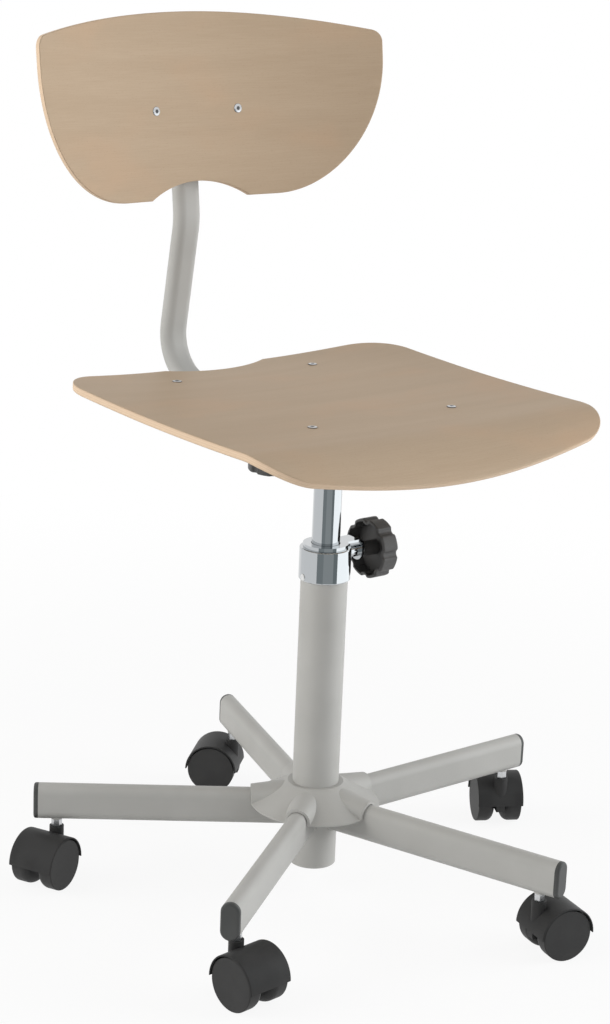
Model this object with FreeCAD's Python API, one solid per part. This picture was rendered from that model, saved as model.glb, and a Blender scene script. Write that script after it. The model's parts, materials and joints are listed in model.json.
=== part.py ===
"""Mobile work chair: five castors, a star base, a clamped height post, a swivel seat and a sliding back.

Millimetres, +Z up. The origin lies on the floor under the column axis and the sitter faces -Y.
Each piece is a separate solid in a node of its own; identical small pieces share one node.
"""
import FreeCAD
import Part

import math
import os

from FreeCAD import Vector

# Fits
running_gap = 0.06          # radial, shaft turning or sliding in its hole
seat_gap = 0.04             # radial, pieces that are pressed, welded or screwed together
free_gap = 0.5              # between pieces that pass each other without guiding

# Castor
wheel_radius = 27.8
wheel_width = 19.5
wheel_shoulder = 8.0        # rounding of the tread towards the middle of the castor
wheel_face_edge = 1.2
axle_radius = 3.0
axle_grip = 15.0            # length of axle inside each wheel
axle_end_gap = 0.6
web_half = 5.0
wheel_side_gap = 0.8        # web to wheel
hood_clearance = 1.4        # hood to tread
hood_wall = 1.5
hood_overhang = 1.3         # rim standing proud of the wheel's face
hood_round = 1.2
web_foot = 20.0             # floor to the lower end of the middle web
web_reach = 12.0            # web behind the axle, on the trailing side
trail = 21.0
trail_turn = 60.0           # degrees from the arm to the trailing direction
neck_radius = 7.8
neck_rise = 5.4             # neck above the top of the tread
stem_radius = 4.0
stem_bite = 24.0            # length of stem inside the neck
neck_floor = 4.0            # neck below the stem's blind hole
stem_show = 8.5             # stem between neck and arm
stem_hexagon_flats = 10.0   # hexagon on the stem, between neck and arm
stem_hexagon_gap = 0.3      # hexagon to the neck below it and to the arm above it
stem_end_gap = 0.5          # below the stem in its blind hole
stem_top_gap = 2.0          # stem below the socket's upper end

# Star base
arm_count = 5
arm_height = 40.0
arm_width = 20.0
arm_wall = 2.0
arm_reach = 298.0           # column axis to the cut end of an arm
castor_inset = 19.7         # cut end of an arm to the castor's stem
cap_flange = 5.0
cap_plug = 9.0
cap_round = 2.5
socket_wall = 2.2
socket_height = 34.0

# Column
column_radius = 25.0
column_wall = 2.5
column_length = 349.0
column_drop = 39.5          # column end below the arms' underside
foot_flange = 3.0
foot_plug = 14.0
hub_wall = 3.0
hub_rise = 11.0             # top of the hub pressing above the arms
hub_rim_radius = 30.0
hub_edge_radius = 70.0      # trimmed edge of the hub pressing
hub_edge_lift = 27.0        # that edge above the arms' underside, between two arms
hub_saddle_start = 20.0     # column axis to the wide end of a saddle
hub_saddle_width = 46.0     # saddle over an arm, at its wide end

# Collar and height clamp
guide_length = 70.0
collar_wall = 2.5
collar_height = 35.0
collar_lip = 5.0
collar_round = 1.5
rivet_radius = 2.6
rivet_head = 1.5
rivet_head_radius = 3.7
rivet_head_round = 1.2
rivet_drop = 30.5           # rivet below the top of the collar
rivet_turns = (175.6, 355.6)
clamp_plate_radius = 24.0
clamp_plate_thickness = 4.0
tongue_width = 20.0
tongue_thickness = 2.5
tongue_reach = 44.5
tongue_drop = 21.0          # round end of the tongue below the top of the collar
tongue_bend = 3.5
clamp_axis_drop = 11.0      # clamp screw's axis below the top of the collar
screw_radius = 4.0
nut_boss_radius = 6.5
pad_length = 6.4
pad_rest_gap = 0.3

# Star knob
knob_lobes = 8
knob_radius = 32.3
knob_groove_radius = 4.5
knob_groove_out = 1.6       # groove's centre outside the knob's radius
knob_lobe_round = 3.0       # rounding of a lobe beside its groove
knob_depth = 20.0
knob_floor = 5.0
knob_wall = 3.0
knob_boss_radius = 8.0
knob_boss_rise = 4.0        # boss standing out of the open side
knob_round = 2.0
knob_offset = 9.5           # open rim outside the tongue

# Height post and seat swivel
post_radius = 15.0
post_wall = 2.5
post_inside = 230.0         # length of post below the clamp plate
post_show = 71.0            # bare post between the clamp plate and the swivel socket
post_cap_flange = 3.0
post_cap_plug = 12.0
foot_ring_height = 25.0
swivel_height = 66.0
swivel_wall = 4.0
swivel_bush_wall = 3.0
swivel_bush_height = 22.0
swivel_bush_flange = 2.0
thrust_height = 6.0

# Seat
seat_width = 438.4
seat_front = 213.5          # column axis to the middle of the front edge
seat_rear = 207.0           # column axis to the corners of the rear notch
seat_thickness = 8.0
seat_front_arc = 1160.0     # radius of the front edge in plan
seat_front_corner = 50.0
seat_rear_corner = 57.0
seat_rear_sweep = 24.0      # rear edge runs forward by this much towards the sides
seat_notch_half = 65.8
seat_notch_depth = 18.0
seat_dish = 3.57            # sides above the middle, where they are lowest
seat_dish_place = 70.0      # column axis forward to that place
seat_dish_length = 120.0    # the dish grows from there, like a hanging chain, over this length
seat_rear_drop = 3.5
seat_rear_flat = 60.0
waterfall_start = 140.0
waterfall_radius = 95.5
seat_slab_margin = 12.0     # the slab is this much wider than the seat before it is trimmed
seat_pad_height = 4.5
seat_pad_radius = 12.0
seat_screw_side = 91.2
seat_screw_front = 82.9
seat_screw_rear = 147.6
plate_thickness = 3.0
plate_border = 20.0
plate_corner = 18.0

# Machine screws and nuts for the shells
bolt_radius = 3.0
bolt_head_radius = 5.0
bolt_head_depth = 2.6
bolt_dome = 0.6
bolt_tail = 2.0             # bolt end beyond its nut
nut_flats = 10.0
nut_height = 5.0

# Back stem
stem_width = 31.5
stem_depth = 20.0
stem_wall = 2.0
stem_front = 51.0           # column axis to the stem's cut end under the seat
stem_run_end = 236.0        # column axis to the start of the rear bend
stem_bend = 50.0
stem_lean = 9.5             # degrees, forward, above the rear bend
stem_lean_length = 110.0
stem_knee = 80.0
stem_plug_flange = 3.0
stem_plug_length = 10.0
sleeve_start = 42.0
sleeve_end = 165.0
sleeve_wall = 3.0
depth_knob_place = 86.0     # column axis to the depth knob
depth_boss_height = 12.0
depth_screw_show = 20.0     # bare screw between boss and knob
depth_pad_length = 4.4

# Backrest
back_recline = 7.2          # degrees
back_width = 448.7
back_height = 199.2
back_radius = 524.0
back_thickness = 7.0
back_top_arc = 970.0
back_top_corner = 14.0
back_lobe_flat = 100.0      # half width of the straight lower edge
back_lobe_rise = 145.0      # height where the lobe reaches the full width
back_notch_half = 64.8
back_notch_depth = 18.7
back_lift = 12.0            # lower corners above the end of the stem's upper bend
back_screw_side = 54.0
back_screw_rise = 94.8
bracket_stand = 10.3        # stem's front to the back of the shell
bracket_thickness = 4.0
bracket_height = 50.0
bracket_pad_half = 17.0
bracket_joggle = 16.0
bracket_half = 76.0
stem_top_over = 30.0        # stem above the back screws

# Heights that follow from the sizes above
neck_top = 2 * wheel_radius + neck_rise
arm_underside = neck_top + stem_show
arm_middle = arm_underside + arm_height / 2
castor_radius = arm_reach - castor_inset
column_bottom = arm_underside - column_drop
column_top = column_bottom + column_length
column_bore = column_radius - column_wall
collar_top = column_top + collar_lip
collar_radius = column_radius + collar_wall
clamp_top = collar_top + clamp_plate_thickness
clamp_axis = collar_top - clamp_axis_drop
swivel_bottom = clamp_top + post_show
plate_underside = swivel_bottom + swivel_height
plate_top = plate_underside + plate_thickness
seat_top = plate_top + seat_pad_height + seat_thickness
post_top = plate_underside - thrust_height - post_cap_flange
post_bottom = clamp_top - post_inside
sleeve_half_height = stem_depth / 2 + running_gap + sleeve_wall
run_height = plate_underside - sleeve_half_height
hood_radius = wheel_radius + hood_clearance + hood_wall
wheel_inner = web_half + wheel_side_gap
hood_half = wheel_inner + wheel_width + hood_overhang
socket_radius = stem_radius + seat_gap + socket_wall

X = Vector(1, 0, 0)
Y = Vector(0, 1, 0)
Z = Vector(0, 0, 1)
ORIGIN = Vector(0, 0, 0)


def rod(radius, start, end, axis=Z, x=0.0, y=0.0, z=0.0):
    """Cylinder along an axis, from start to end on it, shifted by x, y and z."""
    base = Vector(x, y, z) + axis * start
    return Part.makeCylinder(radius, end - start, base, axis)


def ring(outer, inner, start, end, axis=Z, x=0.0, y=0.0, z=0.0):
    """Tube along an axis."""
    body = rod(outer, start, end, axis, x, y, z)
    return body.cut(rod(inner, start - 1, end + 1, axis, x, y, z))


def box(low, high):
    """Box between two corners given as triples."""
    size = [high[i] - low[i] for i in range(3)]
    return Part.makeBox(size[0], size[1], size[2], Vector(*low))


def face_of(edges):
    """Flat face bounded by edges given in any order."""
    return Part.Face(Part.Wire(Part.__sortEdges__(edges)))


def line(a, b):
    return Part.LineSegment(Vector(*a), Vector(*b)).toShape()


def arc(a, middle, b):
    return Part.Arc(Vector(*a), Vector(*middle), Vector(*b)).toShape()


def polygon(points):
    """Face from a closed list of points."""
    vectors = [Vector(*p) for p in points]
    return Part.Face(Part.makePolygon(vectors + vectors[:1]))


def spin(profile, axis=Z, base=ORIGIN, angle=360.0):
    """Solid made by turning a face about an axis."""
    return profile.revolve(base, axis, angle)


def oval_face(width, height, x=0.0, z=0.0):
    """Flat-oval face in the XZ plane: the longer side carries the flats."""
    long, short = max(width, height), min(width, height)
    r = short / 2
    s = (long - short) / 2
    upright = height > width
    flip = (lambda u, v: (x + v, 0, z + u)) if upright else (lambda u, v: (x + u, 0, z + v))
    return face_of([
        line(flip(-s, -r), flip(s, -r)),
        arc(flip(s, -r), flip(s + r, 0), flip(s, r)),
        line(flip(s, r), flip(-s, r)),
        arc(flip(-s, r), flip(-s - r, 0), flip(-s, -r)),
    ])


def oval_bar(width, height, start, end, z):
    """Flat-oval bar along Y."""
    face = oval_face(width, height, 0.0, z).translated(Vector(0, start, 0))
    return face.extrude(Vector(0, end - start, 0))


def hexagon(flats, low, high):
    """Upright hexagon bar, measured across its flats."""
    corner = flats / math.sqrt(3)
    turns = [math.radians(60 * i) for i in range(6)]
    face = polygon([(corner * math.cos(t), corner * math.sin(t), low) for t in turns])
    return face.extrude(Vector(0, 0, high - low))


def joined(solids):
    """One solid from touching or overlapping solids."""
    return solids[0].multiFuse(solids[1:]).removeSplitter()


def about_column(shape, angle):
    return shape.rotated(ORIGIN, Z, angle)


def all_arms(shape):
    """One copy of a shape on each arm; the shape is drawn on the arm that points along +Y."""
    step = 360.0 / arm_count
    return [about_column(shape, i * step - 90.0) for i in range(arm_count)]


# Castors

def wheel_profile():
    """Half section of a wheel: X is the distance from the axle, Y runs outwards along it."""
    inner, outer = wheel_inner, wheel_inner + wheel_width
    bore = axle_radius + running_gap
    bore_end = inner + axle_grip + axle_end_gap
    k = math.sqrt(0.5)
    s, e = wheel_shoulder, wheel_face_edge
    edges = [
        line((0, bore_end, 0), (bore, bore_end, 0)),
        line((bore, bore_end, 0), (bore, inner, 0)),
        line((bore, inner, 0), (wheel_radius - s, inner, 0)),
        arc((wheel_radius - s, inner, 0), (wheel_radius - s + k * s, inner + s - k * s, 0),
            (wheel_radius, inner + s, 0)),
        line((wheel_radius, inner + s, 0), (wheel_radius, outer - e, 0)),
        arc((wheel_radius, outer - e, 0), (wheel_radius - e + k * e, outer - e + k * e, 0),
            (wheel_radius - e, outer, 0)),
        line((wheel_radius - e, outer, 0), (0, outer, 0)),
        line((0, outer, 0), (0, bore_end, 0)),
    ]
    return face_of(edges)


def castor_wheel(side):
    """Wheel on its axle; side is 1 or -1 along the axle."""
    wheel = spin(wheel_profile(), Y)
    if side < 0:
        wheel = wheel.mirror(ORIGIN, Y)
    return wheel.translated(Vector(trail, 0, wheel_radius))


def hood_profile():
    """Section of the hood above one side of the axle, from the middle out to the rim."""
    inner = wheel_radius + hood_clearance
    r = hood_round
    k = math.sqrt(0.5)
    return face_of([
        line((inner, 0, 0), (inner, hood_half, 0)),
        line((inner, hood_half, 0), (hood_radius - r, hood_half, 0)),
        arc((hood_radius - r, hood_half, 0), (hood_radius - r + k * r, hood_half - r + k * r, 0),
            (hood_radius, hood_half - r, 0)),
        line((hood_radius, hood_half - r, 0), (hood_radius, 0, 0)),
        line((hood_radius, 0, 0), (inner, 0, 0)),
    ])


def castor_housing():
    """Hood over both wheels, with the middle web and the neck that turns on the stem."""
    half = spin(hood_profile(), Y, ORIGIN, -180.0)
    hood = half.fuse(half.mirror(ORIGIN, Y)).translated(Vector(trail, 0, wheel_radius))
    web = rod(hood_radius - hood_wall / 2, -web_half, web_half, Y, trail, 0, wheel_radius)
    web = web.cut(box((-neck_top, -neck_top, -hood_radius), (neck_top + trail, neck_top, web_foot)))
    web = web.cut(box((trail + web_reach, -web_half, 0), (trail + hood_radius, web_half, neck_top)))
    neck = rod(neck_radius, neck_top - stem_bite - neck_floor, neck_top)
    pocket_radius = wheel_radius + hood_clearance
    for side in (1, -1):
        low, high = sorted((side * web_half, side * hood_half * 2))
        neck = neck.cut(rod(pocket_radius, low, high, Y, trail, 0, wheel_radius))
    body = joined([hood, web, neck])
    body = body.cut(rod(stem_radius + running_gap, neck_top - stem_bite, neck_top + 1))
    return body.cut(rod(axle_radius + seat_gap, -hood_half, hood_half, Y, trail, 0, wheel_radius))


def castor_axle():
    reach = wheel_inner + axle_grip
    return rod(axle_radius, -reach, reach, Y, trail, 0, wheel_radius)


def castor_stem():
    """Steel pin held in the arm: plain below, with a hexagon between neck and arm."""
    pin = rod(stem_radius, neck_top - stem_bite + stem_end_gap, arm_underside + socket_height - stem_top_gap)
    grip = hexagon(stem_hexagon_flats, neck_top + stem_hexagon_gap, arm_underside - stem_hexagon_gap)
    return pin.fuse(grip).removeSplitter()


def castor_places():
    """Angle of each arm with the place of its castor's stem."""
    step = 360.0 / arm_count
    for i in range(arm_count):
        angle = math.radians(i * step)
        yield i, i * step, Vector(castor_radius * math.cos(angle), castor_radius * math.sin(angle), 0)


def castor_nodes():
    nodes = {}
    stems = []
    for i, arm_angle, place in castor_places():
        def put(shape):
            return shape.rotated(ORIGIN, Z, arm_angle + trail_turn).translated(place)
        nodes["castor_%d_housing" % (i + 1)] = put(castor_housing())
        nodes["castor_%d_axle" % (i + 1)] = put(castor_axle())
        nodes["castor_%d_wheel_left" % (i + 1)] = put(castor_wheel(1))
        nodes["castor_%d_wheel_right" % (i + 1)] = put(castor_wheel(-1))
        stems.append(put(castor_stem()))
    nodes["castor_stems"] = Part.makeCompound(stems)
    return nodes


# Star base and column

def base_arm():
    """Flat-oval tube welded to the column, with a hole below for the castor's socket."""
    tube = oval_bar(arm_width, arm_height, 0, arm_reach, arm_middle)
    inner = oval_bar(arm_width - 2 * arm_wall, arm_height - 2 * arm_wall, -1, arm_reach + 1, arm_middle)
    tube = tube.cut(inner)
    tube = tube.cut(rod(column_radius + seat_gap, 0, arm_middle * 2))
    return tube.cut(rod(socket_radius + seat_gap, 0, arm_middle, Z, 0, castor_radius))


def arm_cap():
    """Plastic end cap: a flush flange with a rounded edge and a plug inside the tube."""
    flange = oval_bar(arm_width, arm_height, arm_reach, arm_reach + cap_flange, arm_middle)
    rim = [e for e in flange.Edges if e.BoundBox.YMin > arm_reach + cap_flange - 0.01]
    flange = flange.makeFillet(cap_round, rim)
    inner = 2 * (arm_wall + seat_gap)
    plug = oval_bar(arm_width - inner, arm_height - inner, arm_reach - cap_plug, arm_reach, arm_middle)
    return flange.fuse(plug).removeSplitter()


def castor_socket():
    """Steel sleeve in the arm that holds the castor's stem."""
    start = arm_underside
    return ring(socket_radius, stem_radius + seat_gap, start, start + socket_height, Z, 0, castor_radius)


def hub_saddle(inset):
    """Saddle over one arm that widens and rises towards the column, less an inset all round."""
    ends = (
        (hub_saddle_start, hub_saddle_width, hub_rise),
        (hub_edge_radius + hub_wall, arm_width + 2 * (hub_wall + seat_gap), hub_wall + seat_gap),
    )
    wires = []
    for place, width, rise in ends:
        height = arm_height + rise
        face = oval_face(width - 2 * inset, height, 0, arm_underside + height / 2 - inset)
        wires.append(face.translated(Vector(0, place, 0)).OuterWire)
    return Part.makeLoft(wires, True, True)


def hub_pressing():
    """Pressed steel dish: a sloping skirt with a saddle over each arm, trimmed to a round edge."""
    top = arm_underside + arm_height + hub_rise
    edge = arm_underside + hub_edge_lift

    def pressed(inset):
        radius = hub_edge_radius + inset
        points = [(0, 0, -inset), (radius, 0, -inset), (radius, 0, edge - inset),
                  (hub_rim_radius, 0, top - inset), (0, 0, top - inset)]
        body = spin(polygon(points))
        for saddle in all_arms(hub_saddle(inset)):
            body = body.fuse(saddle)
        return body

    shell = pressed(0.0).cut(pressed(hub_wall))
    shell = shell.common(rod(hub_edge_radius, edge - hub_wall, top + 1))
    tunnel = oval_bar(arm_width + 2 * seat_gap, arm_height + 2 * seat_gap, 0, hub_edge_radius + 1, arm_middle)
    for passage in all_arms(tunnel):
        shell = shell.cut(passage)
    return shell.cut(rod(column_radius + seat_gap, 0, top + 1))


def column_tube():
    tube = ring(column_radius, column_bore, column_bottom, column_top)
    hole = screw_radius + free_gap
    tube = tube.cut(rod(hole, 0, collar_radius + 1, X, 0, 0, clamp_axis))
    for place, turn in rivet_places():
        tube = tube.cut(rivet_hole(place, turn))
    return tube


def column_foot():
    flange = rod(column_radius, column_bottom - foot_flange, column_bottom)
    plug = rod(column_bore - seat_gap, column_bottom, column_bottom + foot_plug)
    return flange.fuse(plug).removeSplitter()


def guide_bush():
    """Plastic sleeve in the top of the column that guides the post and the clamp's pad."""
    bush = ring(column_bore - seat_gap, post_radius + running_gap, column_top - guide_length, column_top)
    return bush.cut(rod(screw_radius + running_gap, 0, collar_radius, X, 0, 0, clamp_axis))


def rivet_places():
    """Height and direction of each rivet that holds the collar on the column."""
    return [(collar_top - rivet_drop, turn) for turn in rivet_turns]


def rivet_hole(place, turn):
    return about_column(rod(rivet_radius + seat_gap, 0, collar_radius + 1, X, 0, 0, place), turn)


def collar():
    """Chromed cap over the column's top with a lip round the post."""
    bottom = collar_top - collar_height
    body = rod(collar_radius, bottom, collar_top)
    edges = [e for e in body.Edges if e.Curve.TypeId == "Part::GeomCircle"]
    body = body.makeFillet(collar_round, edges)
    body = body.cut(rod(column_radius + seat_gap, bottom - 1, column_top))
    body = body.cut(rod(post_radius + free_gap, bottom, collar_top + 1))
    body = body.cut(rod(screw_radius + free_gap, 0, collar_radius + 1, X, 0, 0, clamp_axis))
    for place, turn in rivet_places():
        body = body.cut(rivet_hole(place, turn))
    return body


def collar_rivets():
    """Short rivets through collar and column, each with a low round head."""
    rivets = []
    for place, turn in rivet_places():
        shank = rod(rivet_radius, column_bore, collar_radius + rivet_head, X, 0, 0, place)
        head = rod(rivet_head_radius, collar_radius, collar_radius + rivet_head, X, 0, 0, place)
        rim = [e for e in head.Edges if e.BoundBox.XMin > collar_radius + rivet_head - 0.01]
        head = head.makeFillet(rivet_head_round, rim)
        wall = rod(collar_radius, place - rivet_head_radius * 2, place + rivet_head_radius * 2)
        rivets.append(about_column(shank.fuse(head.cut(wall)).removeSplitter(), turn))
    return Part.makeCompound(rivets)


def clamp_plate():
    """Disc on the collar with a tongue bent down in front of the clamp screw."""
    disc = rod(clamp_plate_radius, collar_top, clamp_top)
    half = tongue_width / 2
    t = tongue_thickness
    outer = tongue_bend + t
    k = math.sqrt(0.5)
    reach, low = tongue_reach, collar_top - tongue_drop
    strip = face_of([
        line((0, 0, clamp_top), (reach - outer, 0, clamp_top)),
        arc((reach - outer, 0, clamp_top), (reach - outer + k * outer, 0, clamp_top - outer + k * outer),
            (reach, 0, clamp_top - outer)),
        line((reach, 0, clamp_top - outer), (reach, 0, low)),
        line((reach, 0, low), (reach - t, 0, low)),
        line((reach - t, 0, low), (reach - t, 0, clamp_top - outer)),
        arc((reach - t, 0, clamp_top - outer),
            (reach - outer + k * tongue_bend, 0, clamp_top - outer + k * tongue_bend),
            (reach - outer, 0, clamp_top - t)),
        line((reach - outer, 0, clamp_top - t), (0, 0, clamp_top - t)),
        line((0, 0, clamp_top - t), (0, 0, clamp_top)),
    ])
    tongue = strip.translated(Vector(0, -half, 0)).extrude(Vector(0, tongue_width, 0))
    leg = box((0, -half, low + half), (reach, half, clamp_top))
    tongue = tongue.common(joined([leg, rod(half, 0, reach, X, 0, 0, low + half)]))
    plate = disc.fuse(tongue).removeSplitter()
    plate = plate.cut(rod(post_radius + free_gap, 0, clamp_top + 1))
    return plate.cut(rod(screw_radius + free_gap, collar_radius, reach + 1, X, 0, 0, clamp_axis))


def clamp_nut():
    """Threaded boss between the collar and the tongue."""
    end = tongue_reach - tongue_thickness
    boss = ring(nut_boss_radius, screw_radius + running_gap, 0, end, X, 0, 0, clamp_axis)
    return boss.cut(rod(collar_radius + seat_gap, 0, clamp_top))


def knob_star(radius, grow, low, high):
    """Round bar with a groove between each two lobes; grow widens the grooves for the hollow inside."""
    groove = rod(knob_groove_radius + grow, low - 1, high + 1, Z, knob_radius + knob_groove_out)
    grooves = [groove.rotated(ORIGIN, Z, 360.0 * i / knob_lobes) for i in range(knob_lobes)]
    return rod(radius, low, high).cut(grooves)


def star_knob():
    """Hollow star knob on the Z axis: open rim at zero, closed crown at its depth."""
    body = knob_star(knob_radius, 0.0, 0, knob_depth)
    upright = [e for e in body.Edges if e.BoundBox.ZLength > knob_depth / 2]
    body = body.makeFillet(knob_lobe_round, upright)
    rims = [e for e in body.Edges if e.BoundBox.ZLength < knob_depth / 2]
    body = body.makeFillet(knob_round, rims)
    cavity_end = knob_depth - knob_floor
    cavity = knob_star(knob_radius - knob_wall, knob_wall, -1, cavity_end)
    boss = rod(knob_boss_radius, -knob_boss_rise, cavity_end)
    body = body.cut(cavity).fuse(boss).removeSplitter()
    return body.cut(rod(screw_radius + seat_gap, -knob_boss_rise - 1, cavity_end))


def screw_into_knob(length):
    """Plain stud on the knob's axis, reaching out of its open side by a length."""
    return rod(screw_radius, -length, knob_depth - knob_floor)


def clamp_start():
    """Open rim of the clamp knob on the X axis."""
    return tongue_reach + knob_offset


def along_clamp(shape):
    """Turn a piece drawn on Z onto the clamp screw's axis."""
    return shape.rotated(ORIGIN, Y, 90.0).translated(Vector(clamp_start(), 0, clamp_axis))


def clamp_pad_end():
    """Outer end of the clamp pad, where the screw bears on it."""
    return post_radius + pad_rest_gap + pad_length


def clamp_pad():
    return rod(screw_radius, post_radius + pad_rest_gap, clamp_pad_end(), X, 0, 0, clamp_axis)


# Post, swivel and seat frame

def post():
    return ring(post_radius, post_radius - post_wall, post_bottom, post_top)


def post_foot_ring():
    """Plastic ring on the post's lower end, running inside the column."""
    top = post_bottom + foot_ring_height
    return ring(column_bore - running_gap, post_radius + seat_gap, post_bottom, top)


def post_cap():
    flange = rod(post_radius, post_top, post_top + post_cap_flange)
    plug = rod(post_radius - post_wall - seat_gap, post_top - post_cap_plug, post_top)
    return flange.fuse(plug).removeSplitter()


def swivel_bore():
    return post_radius + running_gap + swivel_bush_wall


def swivel_socket():
    outer = swivel_bore() + seat_gap + swivel_wall
    return ring(outer, swivel_bore() + seat_gap, swivel_bottom, plate_underside)


def swivel_bushes():
    """Two plastic bushes in the socket; the lower one has a flange under the socket's end."""
    inner = post_radius + running_gap
    lower = ring(swivel_bore(), inner, swivel_bottom, swivel_bottom + swivel_bush_height)
    flange = ring(swivel_bore() + swivel_wall, inner, swivel_bottom - swivel_bush_flange, swivel_bottom)
    top = plate_underside - thrust_height - post_cap_flange
    upper = ring(swivel_bore(), inner, top - swivel_bush_height, top)
    return Part.makeCompound([lower.fuse(flange).removeSplitter(), upper])


def thrust_disc():
    """Low-friction disc between the post's cap and the seat plate."""
    return rod(swivel_bore() - seat_gap, plate_underside - thrust_height + running_gap, plate_underside)


def seat_screw_places():
    return [(side * seat_screw_side, y) for y in (-seat_screw_front, seat_screw_rear) for side in (-1, 1)]


def seat_plate():
    """Pressed steel plate under the seat that carries the swivel and the stem's sleeve."""
    half = seat_screw_side + plate_border
    low = (-half, -seat_screw_front - plate_border, plate_underside)
    high = (half, seat_screw_rear + plate_border, plate_top)
    plate = box(low, high)
    upright = [e for e in plate.Edges if e.BoundBox.ZLength > plate_thickness / 2]
    plate = plate.makeFillet(plate_corner, upright)
    for x, y in seat_screw_places():
        plate = plate.cut(rod(bolt_radius + seat_gap, plate_underside - 1, plate_top + 1, Z, x, y))
    return plate


def waterfall(y):
    """Drop of the seat's front roll at a place y; the front is towards -Y."""
    past = -y - waterfall_start
    if past <= 0:
        return 0.0
    return waterfall_radius - math.sqrt(waterfall_radius ** 2 - past ** 2)


def seat_height(x, y):
    """Height of the seat's top surface: a dish that deepens to the rear, and a front roll."""
    dish = seat_dish * math.cosh((y + seat_dish_place) / seat_dish_length)
    side = dish * (2 * x / seat_width) ** 2
    rear = seat_rear_drop * (max(0.0, y - seat_rear_flat) / (seat_rear - seat_rear_flat)) ** 2
    return seat_top + side - rear - waterfall(y)


def seat_point(x, y, depth):
    """Point on the seat's top surface, or below it along the surface normal."""
    step = 0.5
    slope_x = (seat_height(x + step, y) - seat_height(x - step, y)) / (2 * step)
    slope_y = (seat_height(x, y + step) - seat_height(x, y - step)) / (2 * step)
    normal = Vector(-slope_x, -slope_y, 1).normalize()
    return Vector(x, y, seat_height(x, y)) - normal * depth


def seat_front_edge(x):
    """Place of the front edge in plan, on its long arc."""
    return -(seat_front - seat_front_arc + math.sqrt(seat_front_arc ** 2 - x ** 2))


def seat_slab():
    """Curved slab wider than the seat, ending at the front edge."""
    column_count = 15
    row_count = 37
    half = seat_width / 2 + seat_slab_margin
    rear = seat_rear + seat_slab_margin
    sheets = []
    for depth in (0.0, seat_thickness):
        grid = []
        for i in range(column_count):
            x = half * (2 * i / (column_count - 1) - 1)
            front = seat_front_edge(x)
            shares = [j / (row_count - 1) for j in range(row_count)]
            grid.append([seat_point(x, rear + (front - rear) * share, depth) for share in shares])
        surface = Part.BSplineSurface()
        surface.interpolate(grid)
        sheets.append(surface)
    top, bottom = [s.toShape() for s in sheets]
    sides = []
    for low, high in ((0.0, None), (1.0, None), (None, 0.0), (None, 1.0)):
        pair = [s.uIso(low) if low is not None else s.vIso(high) for s in sheets]
        sides.append(Part.makeRuledSurface(pair[0].toShape(), pair[1].toShape()))
    shell = Part.makeShell([top, bottom] + sides)
    shell.sewShape()
    return Part.makeSolid(shell)


def seat_outline():
    """Plan of the seat: straight sides, round corners and a rear edge with an arched notch."""
    half = seat_width / 2
    r = seat_front_corner
    arc_centre = -(seat_front - seat_front_arc)
    corner_y = arc_centre - math.sqrt((seat_front_arc - r) ** 2 - (half - r) ** 2)
    lean = math.atan2(half - r, arc_centre - corner_y)
    touch = (half - r + r * math.sin(lean), corner_y - r * math.cos(lean))
    swing = (lean + math.pi / 2) / 2
    middle = (half - r + r * math.sin(swing), corner_y - r * math.cos(swing))
    beyond = -seat_front - waterfall_radius
    q = seat_rear_corner
    sweep = math.atan2(seat_rear_sweep, half - seat_notch_half)
    edge_y = seat_rear - (half - q - seat_notch_half) * math.tan(sweep)
    corner = (half - q, edge_y - q / math.cos(sweep))
    rear_touch = (corner[0] + q * math.sin(sweep), corner[1] + q * math.cos(sweep))
    swing = (sweep + math.pi / 2) / 2
    rear_middle = (corner[0] + q * math.sin(swing), corner[1] + q * math.cos(swing))
    edges = []
    for s in (1, -1):
        edges += [
            line((s * touch[0], beyond, 0), (s * touch[0], touch[1], 0)),
            arc((s * touch[0], touch[1], 0), (s * middle[0], middle[1], 0), (s * half, corner_y, 0)),
            line((s * half, corner_y, 0), (s * half, corner[1], 0)),
            arc((s * half, corner[1], 0), (s * rear_middle[0], rear_middle[1], 0),
                (s * rear_touch[0], rear_touch[1], 0)),
            line((s * rear_touch[0], rear_touch[1], 0), (s * seat_notch_half, seat_rear, 0)),
        ]
    edges.append(arc((-seat_notch_half, seat_rear, 0), (0, seat_rear - seat_notch_depth, 0),
                     (seat_notch_half, seat_rear, 0)))
    edges.append(line((-touch[0], beyond, 0), (touch[0], beyond, 0)))
    return face_of(edges)


def seat_shell():
    """Moulded plywood seat with countersunk screw holes."""
    depth = 2 * waterfall_radius
    outline = seat_outline().translated(Vector(0, 0, seat_top - depth)).extrude(Vector(0, 0, 2 * depth))
    shell = seat_slab().common(outline)
    for x, y in seat_screw_places():
        shell = shell.cut(bolt(seat_height(x, y), seat_gap, x, y, seat_thickness * 2))
    return Part.Solid(shell.Solids[0])


def bolt(top, grow, x, y, length):
    """Countersunk screw from its domed head down; grow makes the hole for it."""
    head = bolt_head_radius + grow
    shank = bolt_radius + grow
    profile = polygon([
        (0, 0, top + bolt_dome), (head - bolt_dome, 0, top + bolt_dome), (head, 0, top),
        (shank, 0, top - bolt_head_depth), (shank, 0, top - length), (0, 0, top - length),
    ])
    return spin(profile).translated(Vector(x, y, 0))


def hex_nut(low, high, x, y):
    """Hexagon nut on a screw of the shells."""
    nut = hexagon(nut_flats, low, high)
    return nut.cut(rod(bolt_radius + seat_gap, low - 1, high + 1)).translated(Vector(x, y, 0))


def seat_screws():
    screws = []
    for x, y in seat_screw_places():
        top = seat_height(x, y)
        screws.append(bolt(top, 0.0, x, y, top - plate_underside + nut_height + bolt_tail))
    return Part.makeCompound(screws)


def seat_nuts():
    low = plate_underside - nut_height
    return Part.makeCompound([hex_nut(low, plate_underside, x, y) for x, y in seat_screw_places()])


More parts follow.
